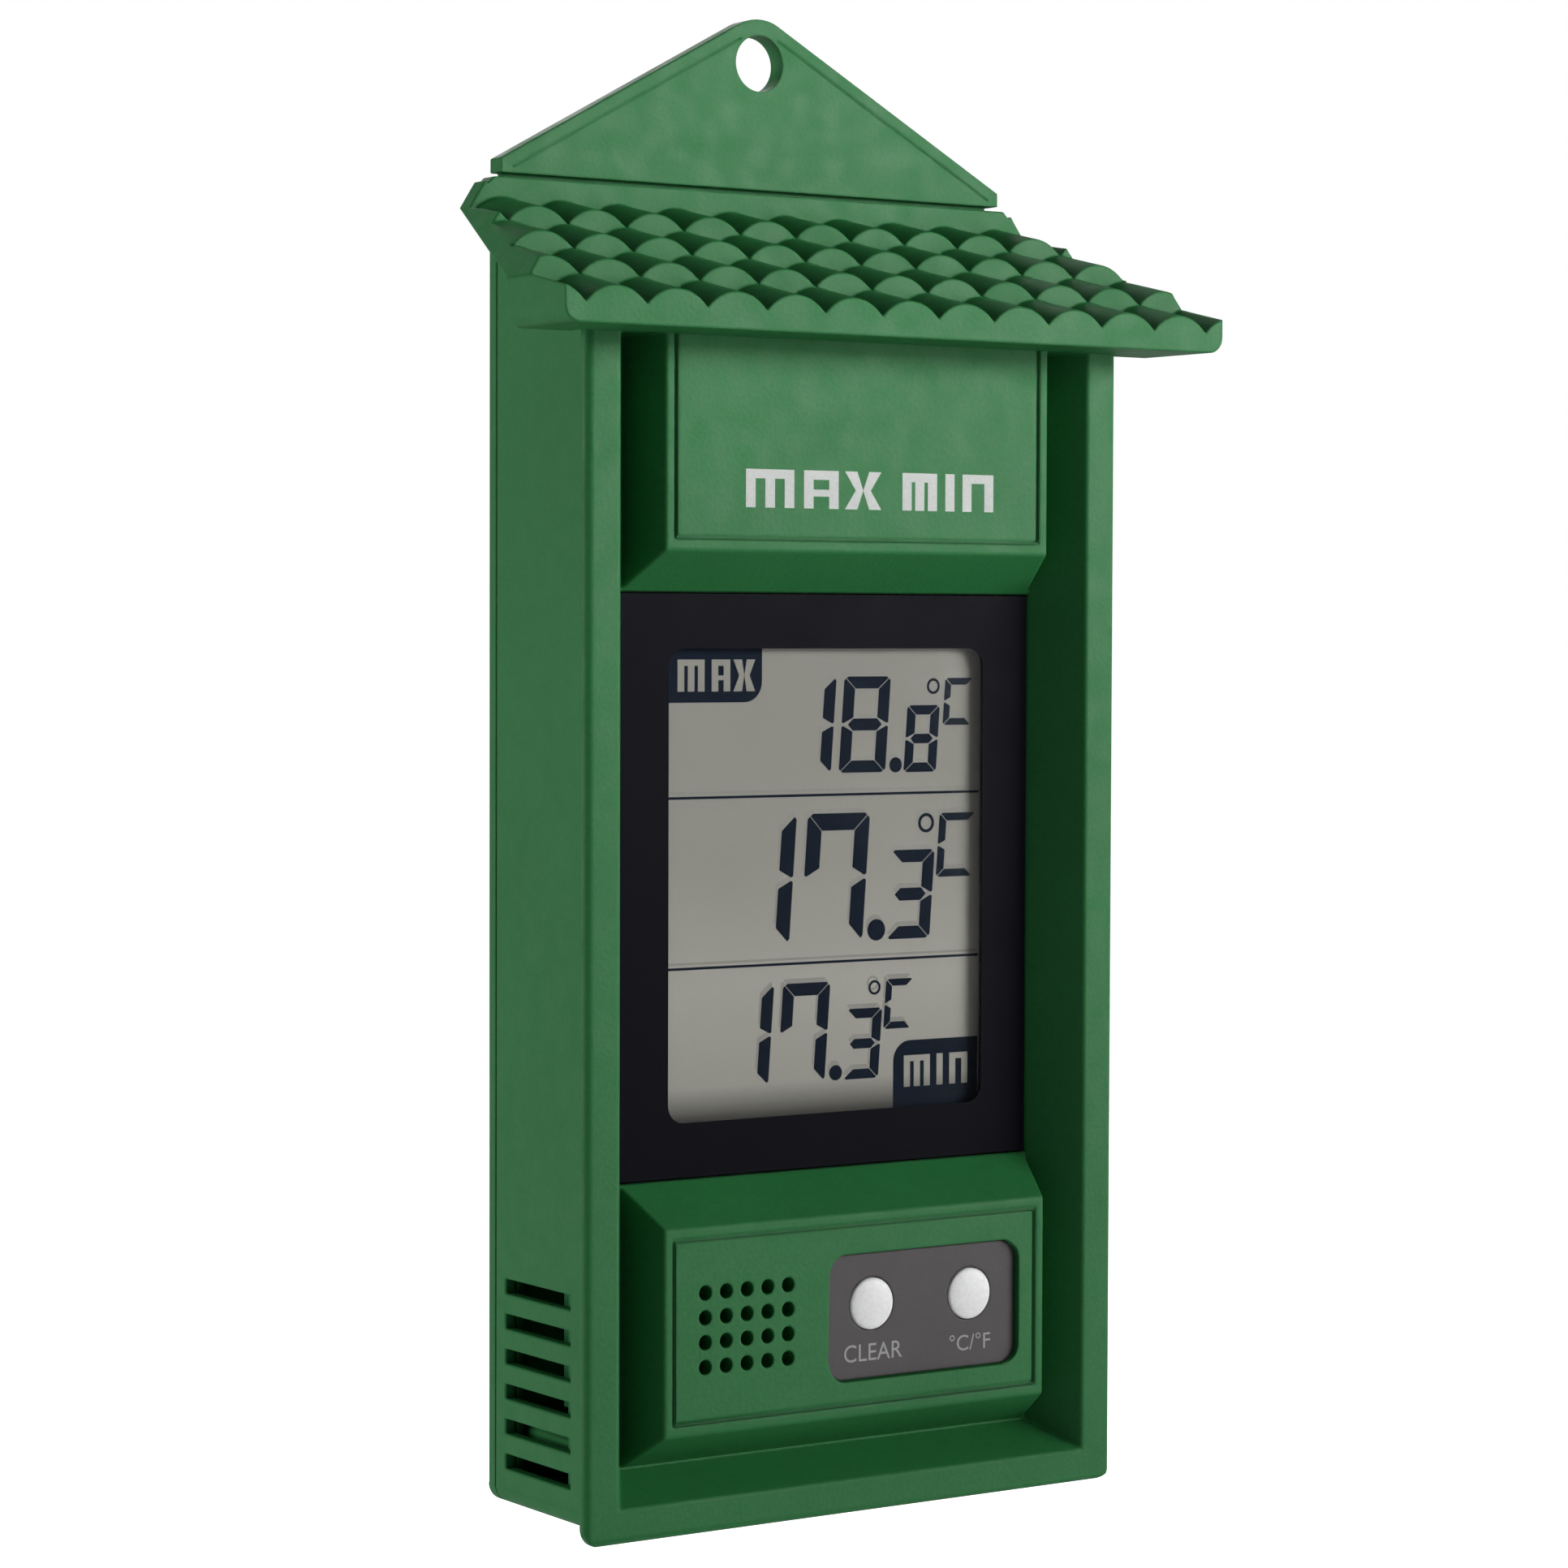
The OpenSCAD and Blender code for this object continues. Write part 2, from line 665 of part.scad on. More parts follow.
module display_glass() color([0.6, 0.6, 0.55]) from_foot() {
    face_on(lcd_y, lcd_back) translate([0, view_z]) square([lcd_w, lcd_h], center = true);
}

module display_reflector() color([0.7, 0.7, 0.68]) from_foot() {
    face_on(lcd_back, lcd_back + film_t) translate([0, view_z])
        square([lcd_w - 2, lcd_h - 9], center = true);
}

// Frame that holds the display glass against the window, screwed to the board's front
module display_holder() color([0.9, 0.9, 0.88]) from_foot() {
    ledge_y = lcd_back + film_t + 0.05;
    difference() {
        union() {
            face_on(pan_y, board_y) translate([0, view_z])
                ring(lcd_w + 5, lcd_h + 5, lcd_w + fit, lcd_h + fit);
            face_on(ledge_y, ledge_y + 1.2) translate([0, view_z])
                ring(lcd_w + 1, lcd_h + 1, lcd_w - 22, lcd_h - 26);
        }
        // Slots for the zebra strips
        for (s = [-1, 1]) face_on(lcd_back, board_y) translate([0, view_z + s * (lcd_h / 2 - zebra_in)])
            square([zebra_w + 2 * fit, zebra_h + 3 * fit], center = true);
    }
}

module zebra_strips() color([0.85, 0.5, 0.6]) from_foot() {
    for (s = [-1, 1]) face_on(lcd_back, board_y) translate([0, view_z + s * (lcd_h / 2 - zebra_in)])
        square([zebra_w, zebra_h], center = true);
}

// --- Electronics ---

module circuit_board() color([0.1, 0.45, 0.2]) from_foot() {
    difference() {
        box(-board_half, board_half, board_y, board_back, board_z0, board_z1);
        for (at = board_screws_at) bar(at[0], at[1], 1.1, board_y - 1, board_back + 1);
    }
}

module chip_blob() color([0.05, 0.05, 0.05]) from_foot() {
    translate([0, board_back, view_z]) rotate([-90, 0, 0]) dome(7, 1.6);
}

module watch_crystal() color("silver") from_foot() {
    translate([18, board_back + 1.05, view_z - 12]) cylinder(h = 6, r = 1);
    for (x = [-0.4, 0.4]) translate([18 + x, board_back + 1.05, view_z - 14.5]) cylinder(h = 2.6, r = 0.15);
}

module capacitors() color([0.2, 0.25, 0.5]) from_foot() {
    for (x = [-24, -14]) bar(x, view_z - 14, 2, board_back, board_back + 4.5);
}

// Bead behind the sensor grille, on two legs from the board
module thermistor() color([0.15, 0.15, 0.15]) from_foot() {
    x = grille_x + 2 * grille_pitch;
    z = grille_z + 1.5 * grille_pitch;
    bead_y = board_y - 8;
    translate([x, bead_y, z]) sphere(1.4);
    for (s = [-1, 1]) bar(x + s * 0.7, z, 0.25, bead_y, board_y);
}

// Snap domes on the board under the two buttons
module contact_domes() color("silver") from_foot() {
    for (x = [clear_x, unit_x]) translate([x, board_y, button_z]) rotate([90, 0, 0]) dome(2.5, dome_h);
}

// --- Buttons ---

module label_plate() color([0.36, 0.34, 0.35]) from_foot() {
    face_on(label_y, label_back) difference() {
        translate([label_x, label_z]) round_rect(label_w, label_h, label_r);
        for (x = [clear_x, unit_x]) translate([x, button_z]) circle(button_d / 2 + button_fit);
    }
}

// Domed cap with a collar behind the block's wall and a stem that reaches the snap dome
module button(x) {
    r = button_d / 2;
    translate([x, button_front + button_dome, button_z]) rotate([90, 0, 0]) dome(r, button_dome);
    bar(x, button_z, r, button_front + button_dome, key_y + 0.2);
    bar(x, button_z, collar_r, key_y + 0.1, key_y + 0.1 + collar_t);
    bar(x, button_z, stem_r, key_y + 0.5, stem_end);
}

module clear_button() color("white") from_foot() button(clear_x);

module unit_button() color("white") from_foot() button(unit_x);

// --- Battery and its contacts ---

module battery() color([0.15, 0.15, 0.17]) from_foot() translate([0, cell_y, cell_z]) rotate([0, 90, 0]) {
    translate([0, 0, -cell_l / 2]) cylinder(h = cell_l - 1, r = cell_d / 2);
    translate([0, 0, cell_l / 2 - 1 - eps]) cylinder(h = 1 + eps, r = 1.9);
}

// Points of a round wire swept along a path, and the faces between its rings
function wire_ring(path, i, r, sides) = let (
        a = path[max(i - 1, 0)], b = path[min(i + 1, len(path) - 1)],
        t = (b - a) / norm(b - a), u = cross(t, [1, 0, 0]) / norm(cross(t, [1, 0, 0])), v = cross(t, u)
    ) [for (k = [0 : sides - 1]) path[i] + r * (cos(360 * k / sides) * u + sin(360 * k / sides) * v)];

module wire(path, r, sides = 8) {
    n = len(path);
    points = [for (i = [0 : n - 1]) each wire_ring(path, i, r, sides)];
    walls = [for (i = [0 : n - 2], k = [0 : sides - 1]) let (j = (k + 1) % sides)
        [i * sides + k, (i + 1) * sides + k, (i + 1) * sides + j, i * sides + j]];
    ends = [[for (k = [0 : sides - 1]) k], [for (k = [sides - 1 : -1 : 0]) (n - 1) * sides + k]];
    polyhedron(points, concat(walls, ends));
}

// Contact plate across the bay with a tail that leaves through the tub's wall
module contact_tab(x) {
    box(x, x + contact_t, cell_y - 4.5, cell_y + 4, cell_z - 4, cell_z + 4);
    box(x, x + contact_t, bay_y - bay_wall - 4, cell_y, cell_z - 1.5, cell_z + 1.5);
}

module battery_spring() color("silver") from_foot() {
    turns = 2.5;
    steps = 30;
    wire_r = 0.35;
    x0 = spring_x + contact_t;
    contact_tab(spring_x);
    wire([for (i = [0 : steps]) let (f = i / steps, a = 360 * turns * f, r = 3.6 - 1.4 * f)
        [x0 + 0.2 + f * (spring_l - 0.65), cell_y + r * cos(a), cell_z + r * sin(a)]], wire_r);
}

module battery_contact() color("silver") from_foot() contact_tab(contact_x);

// --- Screws ---

// Pan-head screw along y: head towards the back, thread forward
module screw(x, z, y_head, length, r, r_head, t_head) {
    difference() {
        bar(x, z, r_head, y_head - t_head, y_head);
        for (a = [0, 90]) translate([x, y_head, z]) rotate([0, a, 0])
            cube([r_head * 1.1, 0.9, 0.5], center = true);
    }
    bar(x, z, r, y_head - t_head - length, y_head - t_head + eps);
}

module case_screws() color("silver") from_foot() {
    for (at = case_screws_at) screw(at[0], at[1], -0.3, 11, screw_r, head_r, head_t);
}

module board_screws() color("silver") from_foot() {
    for (at = board_screws_at) screw(at[0], at[1], board_back + 1, 3.8, 0.8, 1.8, 1);
}

module roof_screws() color("silver") from_foot() {
    under_wall = -wall * cos(roof_tilt) - roof_fit;
    for (x = roof_screws_at) {
        roof_screw_line(x, under_wall - 1.2, under_wall - 0.05, head_r);
        roof_screw_line(x, under_wall - 0.1, 2.6, screw_r);
    }
}

front_frame();
case_shell();
rear_cover();
tiled_roof();
window_lens();
window_mask();
lens_tape();
display_gasket();
display_glass();
display_reflector();
display_holder();
zebra_strips();
circuit_board();
chip_blob();
watch_crystal();
capacitors();
thermistor();
contact_domes();
label_plate();
clear_button();
unit_button();
battery();
battery_spring();
battery_contact();
battery_door();
case_screws();
board_screws();
roof_screws();
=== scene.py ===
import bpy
import json
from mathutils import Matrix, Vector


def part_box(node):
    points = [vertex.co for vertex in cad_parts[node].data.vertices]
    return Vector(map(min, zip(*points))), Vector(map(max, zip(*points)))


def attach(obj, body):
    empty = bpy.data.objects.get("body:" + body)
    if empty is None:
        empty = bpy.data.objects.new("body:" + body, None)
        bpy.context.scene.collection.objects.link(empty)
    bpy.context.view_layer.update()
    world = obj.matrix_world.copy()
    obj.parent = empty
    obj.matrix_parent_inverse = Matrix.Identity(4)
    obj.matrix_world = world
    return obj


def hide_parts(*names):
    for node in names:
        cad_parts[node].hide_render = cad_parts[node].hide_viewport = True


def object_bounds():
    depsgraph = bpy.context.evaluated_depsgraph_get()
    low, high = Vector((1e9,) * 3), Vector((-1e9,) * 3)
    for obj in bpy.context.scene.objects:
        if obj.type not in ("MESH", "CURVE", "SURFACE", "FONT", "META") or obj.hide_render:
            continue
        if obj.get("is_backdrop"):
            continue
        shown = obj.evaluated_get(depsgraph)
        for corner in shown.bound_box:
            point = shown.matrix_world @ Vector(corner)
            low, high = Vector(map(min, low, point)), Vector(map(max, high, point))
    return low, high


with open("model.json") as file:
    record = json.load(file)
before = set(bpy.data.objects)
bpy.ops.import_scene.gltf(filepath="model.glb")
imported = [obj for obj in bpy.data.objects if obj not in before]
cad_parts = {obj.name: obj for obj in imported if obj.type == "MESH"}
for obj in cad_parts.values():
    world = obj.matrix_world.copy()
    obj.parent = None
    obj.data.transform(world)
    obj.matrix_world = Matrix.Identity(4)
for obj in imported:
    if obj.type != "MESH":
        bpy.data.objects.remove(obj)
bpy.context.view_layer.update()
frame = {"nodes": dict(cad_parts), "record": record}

import json
import math

import bpy
from mathutils import Vector

mm = 0.001
quarterTurn = math.pi / 2
alongAxis = 0.9     # a unit normal with this much along an axis faces that way


# ---- small helpers used by every piece

def deselectAll():
    if bpy.context.mode != "OBJECT":
        bpy.ops.object.mode_set(mode="OBJECT")
    bpy.ops.object.select_all(action="DESELECT")


def makeActive(piece):
    deselectAll()
    piece.select_set(True)
    bpy.context.view_layer.objects.active = piece


def selectFaces(piece, test):
    # selects the faces whose centre and normal pass the test, and leaves edit mode on
    bpy.ops.object.mode_set(mode="EDIT")
    bpy.ops.mesh.select_mode(type="FACE")
    bpy.ops.mesh.select_all(action="DESELECT")
    bpy.ops.object.mode_set(mode="OBJECT")
    for face in piece.data.polygons:
        face.select = test(face.center, face.normal)
    bpy.ops.object.mode_set(mode="EDIT")


def applyPlace(piece):
    makeActive(piece)
    bpy.ops.object.transform_apply(location=True, rotation=True, scale=True)


def joinPieces(pieces, name):
    deselectAll()
    for piece in pieces:
        piece.select_set(True)
    bpy.context.view_layer.objects.active = pieces[0]
    bpy.ops.object.join()
    joined = bpy.context.object
    joined.name = name
    applyPlace(joined)
    return joined


def smoothSurface(piece, angle):
    makeActive(piece)
    bpy.ops.object.shade_smooth_by_angle(angle=math.radians(angle))
    weights = piece.modifiers.new("evenNormals", "WEIGHTED_NORMAL")
    weights.keep_sharp = True
    bpy.ops.object.modifier_apply(modifier=weights.name)


def softenEdges(piece, width, segments, angle):
    edge = piece.modifiers.new("softEdge", "BEVEL")
    edge.width = width * mm
    edge.segments = segments
    edge.angle_limit = math.radians(angle)
    bpy.ops.object.modifier_apply(modifier=edge.name)


def finishPiece(piece, body, material, replaced=()):
    piece.data.materials.clear()
    piece.data.materials.append(material)
    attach(piece, body)
    if replaced:
        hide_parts(*replaced)


# ---- camera, first of all

cameraValues = {
    "place": (-0.37535, -0.56996, -0.08907),
    "pitch": 87.86,
    "roll": -0.178,
    "yaw": -33.878,
    "lens": 97.69,
    "sensor": 36,
    "clipStart": 0.01,
}


def addCamera(values):
    turn = [math.radians(values[key]) for key in ("pitch", "roll", "yaw")]
    bpy.ops.object.camera_add(location=values["place"], rotation=turn)
    camera = bpy.context.object
    camera.name = "viewCamera"
    camera.data.lens = values["lens"]
    camera.data.sensor_width = values["sensor"]
    camera.data.clip_start = values["clipStart"]
    bpy.context.scene.camera = camera


deselectAll()
addCamera(cameraValues)
print("camera placed")


# ---- studio: pale floor, white surroundings and soft boxes

studioValues = {
    "floorDrop": 0.1,       # floor below the foot of the case
    "floorSize": 60,
    "paint": (0.9, 0.9, 0.9, 1),
    "paintRough": 0.9,
    # brightness of the floor and of the surroundings, as seen and as they light the object
    "floorGlow": (0.97, 0.06),
    "worldGlow": (1.0, 0.085),
    # soft boxes: place, point aimed at, size, power, spread in degrees
    "boxes": {
        "frontBox": ((1.0, -0.86, 0.02), (0, 0, -0.08), 0.6, 11, 180),
        "upperBox": ((0.5, -0.8, 0.2), (-0.01, 0, 0.06), 0.3, 0.42, 36),
        "topBox": ((0.1, -0.2, 0.9), (0, 0, 0), 0.5, 0.5, 180),
        "sideBox": ((-1.2, 0.5, 0.0), (0, 0, -0.1), 0.8, 11.5, 180),
        "backBox": ((0.5, 1.4, 0.5), (0, 0, -0.1), 0.8, 9, 180),
    },
}


def seenOrLit(tree, values):
    # one brightness for what is seen directly, another for the light that falls on the object
    seen, lit = values
    path = tree.nodes.new("ShaderNodeLightPath")
    mapping = tree.nodes.new("ShaderNodeMapRange")
    mapping.inputs["To Min"].default_value = lit
    mapping.inputs["To Max"].default_value = seen
    tree.links.new(path.outputs["Is Camera Ray"], mapping.inputs["Value"])
    return mapping.outputs["Result"]


def addStudio(values):
    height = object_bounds()[0][2] - values["floorDrop"]
    bpy.ops.mesh.primitive_plane_add(size=values["floorSize"], location=(0, 0, height))
    floor = bpy.context.object
    floor.name = "studioFloor"
    applyPlace(floor)
    paint = bpy.data.materials.new("floorPaint")
    paint.use_nodes = True
    shader = paint.node_tree.nodes["Principled BSDF"]
    shader.inputs["Base Color"].default_value = values["paint"]
    shader.inputs["Roughness"].default_value = values["paintRough"]
    shader.inputs["Emission Color"].default_value = (1, 1, 1, 1)
    glow = seenOrLit(paint.node_tree, values["floorGlow"])
    paint.node_tree.links.new(glow, shader.inputs["Emission Strength"])
    floor.data.materials.append(paint)
    floor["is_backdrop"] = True
    for name, (place, aim, size, power, spread) in values["boxes"].items():
        bpy.ops.object.light_add(type="AREA", location=place)
        light = bpy.context.object
        light.name = name
        light.rotation_euler = (Vector(aim) - Vector(place)).to_track_quat("-Z", "Y").to_euler()
        light.data.size = size
        light.data.energy = power
        light.data.spread = math.radians(spread)
    world = bpy.context.scene.world or bpy.data.worlds.new("studioWorld")
    bpy.context.scene.world = world
    world.use_nodes = True
    sky = world.node_tree.nodes["Background"]
    sky.inputs["Color"].default_value = (1, 1, 1, 1)
    glow = seenOrLit(world.node_tree, values["worldGlow"])
    world.node_tree.links.new(glow, sky.inputs["Strength"])
    bpy.context.scene.view_settings.view_transform = "Standard"


addStudio(studioValues)
print("studio ready")


# ---- finishes: each has its own colour, gloss, grain, and wear with a painted highlight on the edges

# colour, roughness, fineness of the grain, depth of the grain in mm, share of wear and painted highlight
# on the edges, gloss (specular), metal and how much the colour varies (spread)
finishes = {
    "mouldedGreen": {"colour": (0.0153, 0.134, 0.0352), "rough": 0.56, "grain": 1500, "bump": 0.05,
                     "wearAndHighlight": 0.3, "specular": 0.22},
    "blackPrint": {"colour": (0.004, 0.004, 0.007), "rough": 0.42, "grain": 900, "bump": 0,
                   "spread": 0, "specular": 0.02},
    "displayShadow": {"colour": (0.235, 0.23, 0.205), "rough": 0.6, "grain": 2600, "bump": 0.01},
    "whiteTape": {"colour": (0.8, 0.8, 0.76), "rough": 0.7, "grain": 1200, "bump": 0.04},
    "blackFoam": {"colour": (0.03, 0.03, 0.03), "rough": 0.9, "grain": 1800, "bump": 0.3},
    "displayCell": {"colour": (0.37, 0.362, 0.322), "rough": 0.6, "grain": 2600, "bump": 0.01,
                    "spread": 0.05, "specular": 0.1},
    "navySegment": {"colour": (0.005, 0.01, 0.02), "rough": 0.6, "grain": 2000, "bump": 0.01,
                    "specular": 0.03},
    "reflectorFilm": {"colour": (0.6, 0.6, 0.57), "rough": 0.35, "metal": 0.8, "grain": 2500,
                      "bump": 0.03},
    "whiteHolder": {"colour": (0.78, 0.78, 0.74), "rough": 0.5, "grain": 1400, "bump": 0.03, "wearAndHighlight": 0.2},
    "zebraRubber": {"colour": (0.62, 0.28, 0.33), "rough": 0.75, "grain": 1500, "bump": 0.05},
    "boardLacquer": {"colour": (0.02, 0.15, 0.05), "rough": 0.28, "grain": 700, "bump": 0.02},
    "blackResin": {"colour": (0.012, 0.012, 0.012), "rough": 0.3, "grain": 400, "bump": 0.06},
    "platedCan": {"colour": (0.6, 0.6, 0.6), "rough": 0.28, "metal": 1, "grain": 1600, "bump": 0.02},
    "blueSleeve": {"colour": (0.02, 0.03, 0.13), "rough": 0.35, "grain": 900, "bump": 0.02},
    "domeSteel": {"colour": (0.66, 0.66, 0.66), "rough": 0.2, "metal": 1, "grain": 2200, "bump": 0.02},
    "greyLabel": {"colour": (0.062, 0.056, 0.059), "rough": 0.5, "grain": 2600, "bump": 0.02,
                  "wearAndHighlight": 0.2, "specular": 0.25},
    "caseInk": {"colour": (0.38, 0.4, 0.38), "rough": 0.5, "grain": 2200, "bump": 0.03, "spread": 0.12},
    "labelInk": {"colour": (0.26, 0.26, 0.26), "rough": 0.5, "grain": 2600, "bump": 0.02},
    "whiteCap": {"colour": (0.74, 0.74, 0.745), "rough": 0.4, "grain": 1800, "bump": 0.012, "wearAndHighlight": 0.05},
    "cellJacket": {"colour": (0.02, 0.022, 0.028), "rough": 0.3, "grain": 800, "bump": 0.01},
    "nickelContact": {"colour": (0.68, 0.66, 0.62), "rough": 0.25, "metal": 1, "grain": 1500,
                      "bump": 0.03},
    "zincScrew": {"colour": (0.5, 0.5, 0.5), "rough": 0.33, "metal": 1, "grain": 1800, "bump": 0.04,
                  "wearAndHighlight": 0.3},
    "clearWindow": {"colour": (0.02, 0.02, 0.025), "rough": 0.07, "grain": 300, "bump": 0.002},
}
grainValues = {
    "noise": (0.3, 0.7),        # part of the noise's range that is used
    "cloud": (35, 2),           # scale and detail of the broad cloudiness
    "speckleDetail": 3,
    "bumpDetail": 4,
    "glossCoarser": 6,          # the gloss varies this many times more slowly than the grain
    "gloss": (-0.05, 0.07),     # how far the roughness goes below and above its value
    "wearAndHighlightRadius": 0.5,          # mm
    "wearAndHighlightTurn": (0.72, 0.98),   # how far the rounded normal turns: full wear and painted highlight, none of either
    "wearAndHighlightTint": (1.5, 0.02),    # colour of the wear and painted highlight: gain and lift
}


def makeFinish(name, values):
    material = bpy.data.materials.new(name)
    material.use_nodes = True
    nodes, links = material.node_tree.nodes, material.node_tree.links
    shader = nodes["Principled BSDF"]
    shader.inputs["Metallic"].default_value = values.get("metal", 0)
    shader.inputs["Specular IOR Level"].default_value = values.get("specular", 0.5)
    place = nodes.new("ShaderNodeTexCoord").outputs["Object"]

    def noise(scale, detail):
        texture = nodes.new("ShaderNodeTexNoise")
        texture.inputs["Scale"].default_value = scale
        texture.inputs["Detail"].default_value = detail
        links.new(place, texture.inputs["Vector"])
        return texture.outputs["Fac"]

    def ranged(value, low, high, source=grainValues["noise"]):
        mapping = nodes.new("ShaderNodeMapRange")
        links.new(value, mapping.inputs["Value"])
        for key, number in zip(("From Min", "From Max", "To Min", "To Max"), (*source, low, high)):
            mapping.inputs[key].default_value = number
        return mapping.outputs["Result"]

    def mixed(factor, first, second):
        mix = nodes.new("ShaderNodeMix")
        mix.data_type = "RGBA"
        links.new(factor, mix.inputs["Factor"])
        for socket, colour in ((mix.inputs["A"], first), (mix.inputs["B"], second)):
            if isinstance(colour, tuple):
                socket.default_value = (*colour, 1)
            else:
                links.new(colour, socket)
        return mix.outputs["Result"]

    # colour: broad cloudiness with a fine speckle over it
    spread = values.get("spread", 0.1)
    base = values["colour"]
    darker = tuple(c * (1 - spread) for c in base)
    lighter = tuple(min(1, c * (1 + spread)) for c in base)
    broad = mixed(ranged(noise(*grainValues["cloud"]), 0, 1), darker, lighter)
    speckle = mixed(ranged(noise(values["grain"], grainValues["speckleDetail"]), 0, 1), darker, lighter)
    half = nodes.new("ShaderNodeMix")
    half.data_type = "RGBA"
    half.inputs["Factor"].default_value = 0.5
    links.new(broad, half.inputs["A"])
    links.new(speckle, half.inputs["B"])
    colour = half.outputs["Result"]

    # wear and painted highlight: edges made a little paler and smoother; the paleness is partly rubbed
    # wear and partly a painted highlight
    below, above = (values["rough"] + step for step in grainValues["gloss"])
    slow = noise(values["grain"] / grainValues["glossCoarser"], grainValues["speckleDetail"])
    gloss = ranged(slow, below, above)
    if values.get("wearAndHighlight"):
        rounded = nodes.new("ShaderNodeBevel")
        rounded.samples = 4
        rounded.inputs["Radius"].default_value = grainValues["wearAndHighlightRadius"] * mm
        facing = nodes.new("ShaderNodeNewGeometry").outputs["Normal"]
        turned = nodes.new("ShaderNodeVectorMath")
        turned.operation = "DOT_PRODUCT"
        links.new(rounded.outputs["Normal"], turned.inputs[0])
        links.new(facing, turned.inputs[1])
        # mask of the edges' rubbed wear and painted highlight, which lifts their colour
        edge = ranged(turned.outputs["Value"], values["wearAndHighlight"], 0, grainValues["wearAndHighlightTurn"])
        gain, lift = grainValues["wearAndHighlightTint"]
        colour = mixed(edge, colour, tuple(min(1, c * gain + lift) for c in base))
    links.new(colour, shader.inputs["Base Color"])
    links.new(gloss, shader.inputs["Roughness"])

    # grain: a fine spark-eroded texture over a slightly uneven surface
    bump = nodes.new("ShaderNodeBump")
    bump.inputs["Strength"].default_value = 1
    bump.inputs["Distance"].default_value = values["bump"] * mm
    links.new(noise(values["grain"], grainValues["bumpDetail"]), bump.inputs["Height"])
    if values.get("wearAndHighlight"):
        links.new(rounded.outputs["Normal"], bump.inputs["Normal"])
    links.new(bump.outputs["Normal"], shader.inputs["Normal"])
    return material


finish = {name: makeFinish(name, values) for name, values in finishes.items()}


# clear plastic lets the display show through; the film's gains go from the cell's foot to its top: a
# painted shadow of the window's border at the foot, then brighter low down and darker towards the top
windowValues = {"alpha": 0.04, "refraction": 1.49}
filmShadeValues = {"gains": ((0.05, 0.22), (1.0, 0.7), (0.11, 0.9), (0.3, 1.0), (0.55, 0.78))}


def clearWindow(material, values):
    shader = material.node_tree.nodes["Principled BSDF"]
    shader.inputs["Alpha"].default_value = values["alpha"]
    shader.inputs["IOR"].default_value = values["refraction"]


def paintFilmShade(material, values):
    # the cell's colour is made brighter towards its foot and darker towards its top, with a painted
    # shadow of the window's border along its lower edge
    nodes, links = material.node_tree.nodes, material.node_tree.links
    shader = nodes["Principled BSDF"]
    low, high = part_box("display_glass")
    parts = nodes.new("ShaderNodeSeparateXYZ")
    links.new(nodes.new("ShaderNodeTexCoord").outputs["Object"], parts.inputs["Vector"])
    rise = nodes.new("ShaderNodeMapRange")
    rise.inputs["From Min"].default_value = low[2]
    rise.inputs["From Max"].default_value = high[2]
    links.new(parts.outputs["Z"], rise.inputs["Value"])
    ramp = nodes.new("ShaderNodeValToRGB")
    links.new(rise.outputs["Result"], ramp.inputs["Fac"])
    stops = ramp.color_ramp.elements
    for number, (place, gain) in enumerate(values["gains"]):
        stop = stops[number] if number < 2 else stops.new(place)
        stop.position = place
        stop.color = (gain, gain, gain, 1)
    mix = nodes.new("ShaderNodeMix")
    mix.data_type = "RGBA"
    mix.blend_type = "MULTIPLY"
    mix.inputs["Factor"].default_value = 1
    links.new(shader.inputs["Base Color"].links[0].from_socket, mix.inputs["A"])
    links.new(ramp.outputs["Color"], mix.inputs["B"])
    links.new(mix.outputs["Result"], shader.inputs["Base Color"])


clearWindow(finish["clearWindow"], windowValues)
paintFilmShade(finish["displayCell"], filmShadeValues)

nodeFinish = {
    "front_frame": "mouldedGreen", "case_shell": "mouldedGreen", "rear_cover": "mouldedGreen",
    "tiled_roof": "mouldedGreen", "battery_door": "mouldedGreen", "window_lens": "clearWindow",
    "window_mask": "blackPrint", "lens_tape": "whiteTape", "display_gasket": "blackFoam",
    "display_glass": "displayCell", "display_reflector": "reflectorFilm", "display_holder": "whiteHolder",
    "zebra_strips": "zebraRubber", "circuit_board": "boardLacquer", "chip_blob": "blackResin",
    "watch_crystal": "platedCan", "capacitors": "blueSleeve", "thermistor": "blackResin",
    "contact_domes": "domeSteel", "label_plate": "greyLabel", "clear_button": "whiteCap",
    "unit_button": "whiteCap", "battery": "cellJacket", "battery_spring": "nickelContact",
    "battery_contact": "nickelContact", "case_screws": "zincScrew", "board_screws": "zincScrew",
    "roof_screws": "zincScrew",
}
cadSmooth = 28      # degrees

for nodeName, finishName in nodeFinish.items():
    node = frame["nodes"][nodeName]
    node.data.materials.clear()
    node.data.materials.append(finish[finishName])
    makeActive(node)
    bpy.ops.object.shade_smooth_by_angle(angle=math.radians(cadSmooth))
print("finishes made")


# ---- moulded parts: CAD shapes with their long edges rounded

softValues = {
    "merge": 0.002,         # mm, between points that are one
    "flat": 0.3,            # degrees, between faces that are one
    "sharp": 30,            # degrees, between faces from which an edge is rounded
    "segments": 2,
    "narrow": 0.27,         # mm, a wall narrower than this keeps sharp edges
    "smooth": 35,           # degrees
    # the piece that stands for each node, its edges' radius and the shortest edge to round, in mm
    "pieces": {
        "front_frame": ("frontFrameMoulding", 0.45, 3.0),
        "case_shell": ("caseShellMoulding", 0.3, 4.0),
        "rear_cover": ("rearCoverMoulding", 0.2, 2.0),
        "tiled_roof": ("tiledRoofMoulding", 0.22, 1.6),
        "battery_door": ("batteryDoorMoulding", 0.2, 1.5),
        "label_plate": ("labelPlateSheet", 0.12, 0.3),
        "display_holder": ("displayHolderMoulding", 0.2, 2.0),
    },
}
bodyOf = {name: body for body, names in frame["record"]["behaviour"]["bodies"].items() for name in names}


